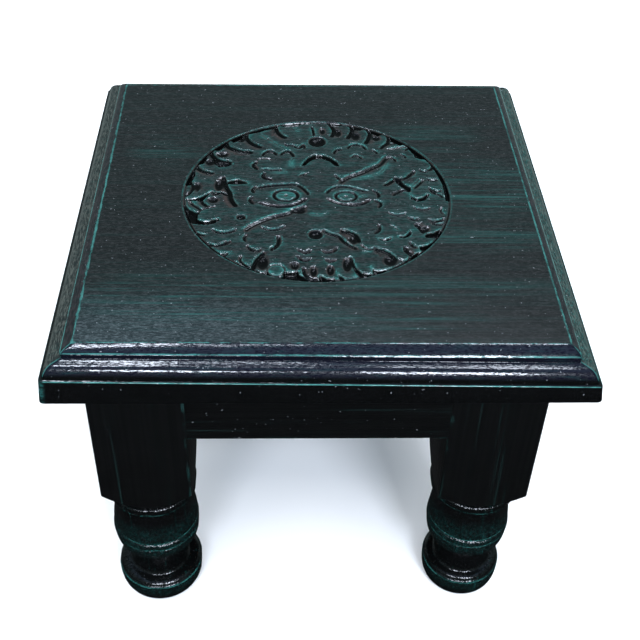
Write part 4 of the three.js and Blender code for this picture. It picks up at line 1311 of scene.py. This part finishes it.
def worked_by_hand(board, sizes):
    """Moves the board's edge and mouldings by the millimetre or two that they run out of true.

    The move of each vertex is kept as three attributes, so that the finish still follows the mouldings:
    slip_x and slip_y, how far it went out along each axis, and lift, how far it rose.
    """
    spots = places_of(board.data)
    x, y, z = spots.copy().T
    half = TOP_HIGH.x
    arris_z = TOP_LOW.z + sizes.edge_height
    step_z = TOP_HIGH.z - sizes.upper_ovolo_height
    above_step = np.clip((z - step_z) / sizes.upper_ovolo_height, 0, 1)
    above_arris = np.clip((z - arris_z) / (step_z - arris_z), 0, 1)
    lift = -x * FRONT_TWIST * step_between(-y, -0.10, half) * step_between(z, TOP_LOW.z + 0.002, arris_z)
    lift = lift * (1 - above_step) * (TWIST_AT_ARRIS - TWIST_LOST * above_arris)
    # The field's edge stands a little further in along the front, and runs out to the right at the back
    off_middle = step_between(np.abs(x), 0.09, 0.13)
    off_centre = step_between(np.abs(y), 0.09, 0.13)
    bulge = np.where(x < 0, np.interp(y, SIDE_STATIONS, LEFT_BULGE), np.interp(y, SIDE_STATIONS, RIGHT_BULGE))
    new_x = x + np.sign(x) * bulge * off_middle
    new_y = y + np.where(y < 0, (0.0012 - 0.0035 * x) * above_step * off_centre, (0.0010 + 0.0055 * x) * off_centre)
    # The upright edge leans out towards its lower side
    inset = half - np.maximum(np.abs(x), np.abs(y))
    lean = (1 - step_between(z, TOP_LOW.z + 0.004, arris_z + 0.001)) * (inset < LEAN_REACH)
    new_x = new_x + np.sign(x) * SIDE_LEAN * lean * (np.abs(x) > half - LEAN_REACH)
    new_y = new_y - FRONT_LEAN * lean * (y < LEAN_REACH - half)
    slip_x, slip_y = np.abs(new_x) - np.abs(x), np.abs(new_y) - np.abs(y)
    place_vertices(board.data, np.stack((new_x, new_y, z + lift), 1), slip_x=slip_x, slip_y=slip_y, lift=lift)


def join_disc(board, disc):
    """Opens the field, evens out its edge to the disc's and bridges the two."""
    edit(board)
    pick(board, "FACE", lambda face: face.normal.z > 0.99 and face.calc_area() > 0.04)
    bpy.ops.mesh.delete(type="ONLY_FACE")
    pick(board, "EDGE", lambda edge: edge.is_boundary and edge.calc_length() > 0.1)
    cage = bmesh.from_edit_mesh(board.data)
    around = sum(1 for edge in cage.edges if edge.is_boundary)
    corner_edges = (around - 4) // 4
    cells = round(math.sqrt(len(disc.data.polygons)))
    bpy.ops.mesh.subdivide(number_cuts=cells - corner_edges - 1)
    leave_edit_mode()
    for name in ("worn", "wash", "hollow"):
        board.data.attributes.new(name, "FLOAT", "POINT")
    select_only(disc, board)
    bpy.ops.object.join()
    edit(board, "EDGE")
    pick(board, "EDGE", lambda edge: edge.is_boundary)
    bpy.ops.mesh.bridge_edge_loops()
    leave_edit_mode()


class LOWTABLE_OT_top(bpy.types.Operator):
    """Moulded board with its carved roundel"""
    bl_idname = "lowtable.top"
    bl_label = "Carved top"

    def execute(self, context):
        scene = context.scene
        sizes, roundel = scene.low_table_top, scene.low_table_roundel
        board = moulded_board(sizes)
        worked_by_hand(board, sizes)
        smooth(board, 24)
        join_disc(board, carved_disc(roundel))
        material = TopFinish(sizes, roundel).painted(scene.low_table_finish)
        finish_piece(board, "top_board", material)
        return {"FINISHED"}


# How each leg was made and stands: shift of its turning along X and Y, its foot, its bulb, how much higher
# its block's corners end, and its shift along X at the floor and under the board
LEG_TURNING = {
    "front_left": ((0.0002, 0.0), 0.0290, 0.0290, 0.0019, (-0.0002, 0.0015)),
    "front_right": ((0.0, 0.0004), 0.0270, 0.0279, -0.0008, (-0.0005, -0.0023)),
    "back_right": ((0.0004, 0.0), 0.0284, 0.0288, 0.0, (0.0, 0.0)),
    "back_left": ((-0.0003, 0.0003), 0.0281, 0.0290, 0.0, (0.0, 0.0)),
}
OVERCUT = 0.004                 # how far a tool body stands past the face that it cuts
FOOT_RIM = 0.0014
FOOT_SIDE_SHARE = 0.78          # how far up its side the foot swells
WAIST_DEPTH = 0.0023            # of the bulb's waist under the ring


def leg_outline(sizes, foot, bulb, corner_rise):
    """Radius and height from the middle of the sole up past the top of the block."""
    shoulder, ring_bottom, upper_line, lower_line, bulb_bottom = leg_heights(sizes)
    block_bottom = LEG_HIGH.z - sizes.block_length + corner_rise
    ring_top = shoulder - sizes.notch_length
    ring_middle = (ring_top + ring_bottom) / 2
    flank_z = sizes.foot_height + sizes.foot_flank_rise
    block_radius = LEG_HALF * math.sqrt(2) + MM
    half_line = sizes.line_width / 2
    waist = bulb - WAIST_DEPTH
    waist_z = (upper_line + ring_bottom) / 2
    notch, ring = sizes.notch_radius, sizes.ring_radius

    # Each row ends a curve: the corner it is drawn to, its end and its steps. A row of one place is a straight.
    rows = (
        ((sizes.foot_bottom_radius, 0.0),),
        ((foot, 0.0), (foot, sizes.foot_height * FOOT_SIDE_SHARE), 8),
        ((foot, sizes.foot_height - FOOT_RIM),),
        ((foot, sizes.foot_height), (foot - FOOT_RIM, sizes.foot_height + FOOT_RIM / 3), 4),
        ((foot - 0.0022, flank_z - 0.0002), (sizes.foot_flank_radius, flank_z), 8),
        ((sizes.neck_radius, flank_z), (sizes.neck_radius, (flank_z + bulb_bottom) / 2), 7),
        ((sizes.neck_radius, bulb_bottom), (sizes.bulb_end_radius, bulb_bottom), 7),
        ((bulb - 0.0006, bulb_bottom + 0.0018), (bulb - 0.0003, lower_line - half_line), 6),
        ((bulb - 0.0002 - sizes.line_depth, lower_line),),
        ((bulb, lower_line + half_line),),
        ((bulb, (lower_line + upper_line) / 2), (bulb - 0.0003, upper_line - half_line), 3),
        ((bulb - 0.0005 - sizes.line_depth, upper_line),),
        ((bulb - 0.0007, upper_line + half_line),),
        ((bulb - 0.0010, (upper_line + waist_z) / 2), (waist + 0.0003, waist_z - 0.0030), 5),
        ((waist - 0.0003, waist_z + 0.0030), (waist + 0.0003, ring_bottom - 0.0040), 6),
        ((waist + 0.0004, ring_bottom - 0.0006), (sizes.groove_radius, ring_bottom), 7),
        ((ring, ring_bottom), (ring, ring_middle), 7),
        ((ring, ring_top), (notch, ring_top), 7),
        ((notch, shoulder),),
        (((notch + block_radius) / 2 + 0.0003, (shoulder + block_bottom) / 2), (block_radius, block_bottom), 6),
        ((block_radius, LEG_HIGH.z + OVERCUT),),
        ((0.0, LEG_HIGH.z + OVERCUT),),
    )
    points = [(0.0, 0.0)]
    for row in rows:
        points += row if len(row) == 1 else bow(points[-1], *row)
    return points


def splay(leg, at_floor, at_board):
    """Leans a leg along X."""
    slope = (at_board - at_floor) / LEG_HIGH.z
    move_mesh(leg, Matrix(((1, 0, slope, at_floor), (0, 1, 0, 0), (0, 0, 1, 0), (0, 0, 0, 1))))


def square_stock(name, x, y, sizes):
    """Square prism with its four arrises rounded, from floor to board."""
    stock = block(name, (x - LEG_HALF, y - LEG_HALF, -MM), (x + LEG_HALF, y + LEG_HALF, LEG_HIGH.z))
    edit(stock)
    pick(stock, "EDGE", lambda edge: abs(edge.verts[0].co.z - edge.verts[1].co.z) > 0.1)
    round_picked(sizes.arris_radius, 4)
    leave_edit_mode()
    return stock


def cut_mortises(leg, x, y, sizes):
    """Two blind mortises, in the faces towards the middle of the table."""
    half_width = sizes.tenon_thickness / 2 + sizes.mortise_play
    half_height = sizes.tenon_height / 2 + sizes.mortise_play
    rail_middle = (abs(APRON_LOW.y) + abs(APRON_HIGH.y)) / 2
    middle_z = (APRON_LOW.z + APRON_HIGH.z) / 2
    outward = (math.copysign(1, x), math.copysign(1, y))
    inner = abs(x) - LEG_HALF
    for axis, other in ((0, 1), (1, 0)):
        low, high = [0, 0, middle_z - half_height], [0, 0, middle_z + half_height]
        low[axis], high[axis] = sorted(
            (outward[axis] * (inner - OVERCUT), outward[axis] * (inner + sizes.tenon_length))
        )
        low[other], high[other] = sorted(
            (outward[other] * (rail_middle - half_width), outward[other] * (rail_middle + half_width))
        )
        cut(leg, block("mortise", low, high))


class LOWTABLE_OT_legs(bpy.types.Operator):
    """Four legs, square above and turned below"""
    bl_idname = "lowtable.legs"
    bl_label = "Turned legs"

    def execute(self, context):
        scene = context.scene
        sizes = scene.low_table_leg
        material = leg_finish(scene.low_table_finish, sizes)
        for corner in CORNERS:
            x = LEG_X * (1 if "right" in corner else -1)
            y = LEG_Y * (1 if "back" in corner else -1)
            (shift_x, shift_y), foot, bulb, corner_rise, stance = LEG_TURNING[corner]
            outline = leg_outline(sizes, foot, bulb, corner_rise)
            leg = turned("turned_leg_" + corner, outline, (x + shift_x, y + shift_y), 96)
            cut(leg, square_stock("stock", x, y, sizes), "INTERSECT")
            splay(leg, *stance)
            cut_mortises(leg, x, y, scene.low_table_frame)
            ease(leg, 0.3 * MM, 28)
            smooth(leg, 32)
            finish_piece(leg, "leg_" + corner, material)
        return {"FINISHED"}


def turn_to_side(piece, side):
    """Turns a piece of the front side to another side of the table."""
    move_mesh(piece, Matrix.Rotation(math.pi / 2 * SIDES.index(side), 4, "Z"))


def finish_four(build, name, node_name, materials):
    """Builds a frame piece for each side; front and back get the first material, the two ends the second."""
    for side in SIDES:
        piece = build()
        turn_to_side(piece, side)
        named(piece, name + side)
        smooth(piece, 30)
        finish_piece(piece, node_name + side, materials[SIDES.index(side) % 2])


def apron_rail(sizes):
    """Front apron: a rail whose ends are drawn out into tenons."""
    shoulder = APRON_HIGH.x - sizes.tenon_length
    rail = block("apron", (-shoulder, APRON_LOW.y, APRON_LOW.z), (shoulder, APRON_HIGH.y, APRON_HIGH.z))
    middle = (APRON_LOW + APRON_HIGH) / 2
    thickness = APRON_HIGH.y - APRON_LOW.y
    height = APRON_HIGH.z - APRON_LOW.z
    ratio = (1, sizes.tenon_thickness / thickness, sizes.tenon_height / height)
    edit(rail)
    for end in (-1, 1):
        pick(
            rail, "FACE",
            lambda face: face.normal.x * end > 0.9 and face.calc_center_median().x * end > shoulder - 0.1 * MM,
        )
        push_out((0, 0, 0))
        bpy.ops.transform.resize(value=ratio, center_override=(end * shoulder, middle.y, middle.z))
        push_out((end * sizes.tenon_length, 0, 0))
    pick(rail, "EDGE", lambda edge: abs(edge.verts[0].co.x - edge.verts[1].co.x) > shoulder)
    round_picked(sizes.rail_arris, 3)
    leave_edit_mode()
    return rail


class LOWTABLE_OT_aprons(bpy.types.Operator):
    """Four tenoned aprons between the legs"""
    bl_idname = "lowtable.aprons"
    bl_label = "Aprons"

    def execute(self, context):
        sizes, settings = context.scene.low_table_frame, context.scene.low_table_finish

        def bored_rail():
            return bored(apron_rail(sizes), sizes, ("apron",))

        materials = (
            apron_finish(settings, "painted_apron_across", GRAIN_X),
            apron_finish(settings, "painted_apron_through", GRAIN_Y),
        )
        finish_four(bored_rail, "apron_rail_", "apron_", materials)
        return {"FINISHED"}


def screw_place(kind, end):
    """Head and direction of one screw of the front side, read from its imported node."""
    low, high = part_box(f"{kind}_screw_front_{1 if end < 0 else 2}")
    middle = (low + high) / 2
    if kind == "top":
        return Vector((middle.x, middle.y, low.z)), Vector((0, 0, 1))
    return Vector((middle.x, high.y, middle.z)), Vector((0, -1, 0))


def lay_along(piece, head, direction):
    """Moves an upright piece that starts at the origin, so that it points along a direction."""
    turn = Vector((0, 0, 1)).rotation_difference(direction).to_matrix().to_4x4()
    return move_mesh(piece, Matrix.Translation(head) @ turn)


def bored(piece, sizes, kinds):
    """Cuts the holes for both screws of each kind into a piece of the front side."""
    head = sizes.screw_head_radius + sizes.screw_play
    shank = sizes.screw_shank_radius + sizes.screw_play
    past_point = sizes.screw_length + MM
    outline = [
        (0.0, -2 * MM), (head, -2 * MM), (head, 0.0), (shank, sizes.screw_head_height), (shank, past_point),
        (0.0, past_point),
    ]
    for kind in kinds:
        for end in (-1, 1):
            cut(piece, lay_along(turned("screw_hole", outline, (0, 0), 24), *screw_place(kind, end)))
    return piece


class LOWTABLE_OT_cleats(bpy.types.Operator):
    """Four bare cleats that hold the board to the aprons"""
    bl_idname = "lowtable.cleats"
    bl_label = "Cleats"

    def execute(self, context):
        sizes, settings = context.scene.low_table_frame, context.scene.low_table_finish

        def bored_cleat():
            cleat = block("cleat", *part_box("cleat_front"))
            edit(cleat)
            bpy.ops.mesh.select_all(action="SELECT")
            round_picked(sizes.rail_arris, 3)
            leave_edit_mode()
            return bored(cleat, sizes, ("top", "apron"))

        materials = (
            bare_wood_finish(settings, "bare_cleat_across", GRAIN_X),
            bare_wood_finish(settings, "bare_cleat_through", GRAIN_Y),
        )
        finish_four(bored_cleat, "bare_cleat_", "cleat_", materials)
        return {"FINISHED"}


def wood_screw(sizes):
    """Countersunk screw, head down at the origin, with ridged shank, point and a cross recess."""
    head, shank = sizes.screw_head_radius, sizes.screw_shank_radius
    root = shank * 0.72
    pitch = shank * 0.9
    plain_end = sizes.screw_head_height + shank * 3
    point = sizes.screw_length - shank * 2
    outline = [
        (0.0, 0.0), (head * 0.92, 0.0), (head, head * 0.06), (shank, sizes.screw_head_height), (shank, plain_end)
    ]
    z = plain_end
    while z + pitch < point:
        outline += [(root, z + pitch * 0.3), (shank, z + pitch * 0.5), (root, z + pitch * 0.7)]
        z += pitch
    outline += [(root, point), (0.0, sizes.screw_length)]
    screw = turned("wood_screw", outline, (0, 0), 20)
    arm, slot = head * 0.58, head * 0.13
    for wide, narrow in ((arm, slot), (slot, arm)):
        cut(screw, block("recess", (-wide, -narrow, -MM), (wide, narrow, head * 0.30)))
    smooth(screw, 30)
    return screw


class LOWTABLE_OT_screws(bpy.types.Operator):
    """Sixteen countersunk screws through the cleats"""
    bl_idname = "lowtable.screws"
    bl_label = "Screws"

    def execute(self, context):
        scene = context.scene
        material = steel_finish(scene.low_table_finish)
        pattern = wood_screw(scene.low_table_frame)
        for side in SIDES:
            for kind in ("top", "apron"):
                for end in (-1, 1):
                    name = f"{kind}_screw_{side}_{1 if end < 0 else 2}"
                    screw = pattern.copy()
                    screw.data = pattern.data.copy()
                    context.collection.objects.link(screw)
                    named(screw, "wood_" + name)
                    lay_along(screw, *screw_place(kind, end))
                    turn_to_side(screw, side)
                    finish_piece(screw, name, material)
        bpy.data.meshes.remove(pattern.data)
        return {"FINISHED"}


def floor_finish(settings):
    finish = Finish("studio_floor")
    paper = finish.mix(finish.noise(6.0), rgba(settings.floor, 0.985), rgba(settings.floor))
    return finish.close({"Base Color": paper, "Roughness": 0.9, "Specular IOR Level": 0.0})


# Soft boxes: name, place, size, strength in watts, and whether the gloss mirrors them. Two hang behind the
# table's left half and one behind its right, and three stand in front of it.
SOFT_BOXES = (
    ("soft_box_over_left", (-0.40, 0.42, 1.75), (0.44, 0.14), 5.0, True),
    ("soft_box_over_middle", (-0.05, 0.42, 1.75), (0.26, 0.08), 1.0, True),
    ("soft_box_behind_right", (0.45, 0.73, 1.75), (0.50, 0.24), 5.2, True),
    ("soft_box_front_left", (-0.42, -1.49, 1.45), (0.42, 0.36), 17.0, True),
    ("soft_box_front_middle", (-0.10, -1.49, 1.45), (0.22, 0.14), 2.6, True),
    ("soft_box_front_right", (0.52, -1.49, 1.45), (0.50, 0.60), 30.0, True),
    ("soft_box_fill", (0.0, -0.8, 3.2), (3.0, 2.4), 158.0, False),
)
BOX_COLOUR = (0.80, 0.87, 1.0)
FILL_COLOUR = (1.0, 1.0, 1.0)


def studio_sky(settings):
    """World that is bright above the horizon and dark below it, and a pale backdrop where the camera sees it."""
    world = bpy.data.worlds.new("studio_sky")
    bpy.context.scene.world = world
    sky = Nodes(world)
    _, behind, up = sky.axes(sky.node("ShaderNodeTexCoord", {}, "Generated"))
    near_horizon = up.ramp(-0.50, -0.25, 0.0, behind.ramp(0.25, 0.75))
    shade = sky.mix(near_horizon, rgba(settings.ground), rgba(settings.ground_behind))
    for low, high, tone in ((-0.03, 0.20, settings.sky), (0.72, 0.95, settings.zenith)):
        shade = sky.mix(up.ramp(low, high), shade, rgba(tone))
    seen = sky.node("ShaderNodeLightPath", {}, "Is Camera Ray")
    light = sky.node("ShaderNodeBackground", {"Color": sky.mix(seen, shade, rgba(settings.backdrop))})
    sky.node("ShaderNodeOutputWorld", {"Surface": light})


CAMERA_PLACE = (-0.02261, -0.54582, 0.65281)
CAMERA_TILT, CAMERA_YAW, CAMERA_ROLL = 0.74737, 0.0512, 0.03571


def photo_camera(settings):
    """Camera at the photograph's place: above the front edge, looking down on the board."""
    tilt, yaw, roll = CAMERA_TILT, CAMERA_YAW, CAMERA_ROLL
    ahead = Vector((math.sin(yaw) * math.cos(tilt), math.cos(yaw) * math.cos(tilt), -math.sin(tilt)))
    right = Vector((math.cos(yaw), -math.sin(yaw), 0))
    up = right.cross(ahead)
    rolled_right = right * math.cos(roll) + up * math.sin(roll)
    rolled_up = up * math.cos(roll) - right * math.sin(roll)
    lens = bpy.data.cameras.new("photo_camera")
    lens.lens = settings.focal_length
    lens.sensor_width = 36.0
    lens.clip_start = 0.01
    camera = bpy.data.objects.new("photo_camera", lens)
    bpy.context.scene.collection.objects.link(camera)
    turn = Matrix((rolled_right, rolled_up, -ahead)).transposed().to_4x4()
    camera.matrix_world = Matrix.Translation(Vector(CAMERA_PLACE)) @ turn
    bpy.context.scene.camera = camera


class LOWTABLE_OT_stage(bpy.types.Operator):
    """Pale floor, soft studio light and the camera"""
    bl_idname = "lowtable.stage"
    bl_label = "Stage"

    def execute(self, context):
        settings = context.scene.low_table_stage
        select_only()
        bpy.ops.mesh.primitive_plane_add(size=settings.floor_size)
        floor = named(context.object, "studio_floor")
        floor.data.materials.append(floor_finish(settings))
        floor.visible_glossy = False
        target = Vector((0, 0, TOP_HIGH.z))
        for name, place, size, strength, mirrored in SOFT_BOXES:
            light = bpy.data.lights.new(name, "AREA")
            light.shape = "RECTANGLE"
            light.size, light.size_y = size
            light.energy = strength
            light.color = BOX_COLOUR if mirrored else FILL_COLOUR
            lamp = bpy.data.objects.new(name, light)
            context.scene.collection.objects.link(lamp)
            lamp.visible_glossy = mirrored
            lamp.location = place
            lamp.rotation_euler = (target - Vector(place)).to_track_quat("-Z", "Y").to_euler()
        studio_sky(settings)
        photo_camera(settings)
        context.scene.view_settings.view_transform = "Standard"
        return {"FINISHED"}


OPERATORS = (
    LOWTABLE_OT_top, LOWTABLE_OT_legs, LOWTABLE_OT_aprons, LOWTABLE_OT_cleats, LOWTABLE_OT_screws, LOWTABLE_OT_stage
)


class LOWTABLE_PT_panel(bpy.types.Panel):
    """Pieces of the low table"""
    bl_idname = "LOWTABLE_PT_panel"
    bl_label = "Bajot Low Table"
    bl_space_type = "VIEW_3D"
    bl_region_type = "UI"
    bl_category = "Low Table"

    def draw(self, context):
        for operator in OPERATORS:
            self.layout.operator(operator.bl_idname)
        for group_name, group in GROUPS.items():
            box = self.layout.box()
            box.label(text=group_name.replace("_", " "))
            for key in group.__annotations__:
                box.prop(getattr(context.scene, group_name), key)


def register():
    for group_name, group in GROUPS.items():
        bpy.utils.register_class(group)
        setattr(bpy.types.Scene, group_name, bpy.props.PointerProperty(type=group))
    for operator in OPERATORS:
        bpy.utils.register_class(operator)
    bpy.utils.register_class(LOWTABLE_PT_panel)


def unregister():
    bpy.utils.unregister_class(LOWTABLE_PT_panel)
    for operator in reversed(OPERATORS):
        bpy.utils.unregister_class(operator)
    for group_name, group in GROUPS.items():
        delattr(bpy.types.Scene, group_name)
        bpy.utils.unregister_class(group)


def main():
    register()
    for operator in OPERATORS:
        category, name = operator.bl_idname.split(".")
        getattr(getattr(bpy.ops, category), name)()


if __name__ == "__main__":
    main()
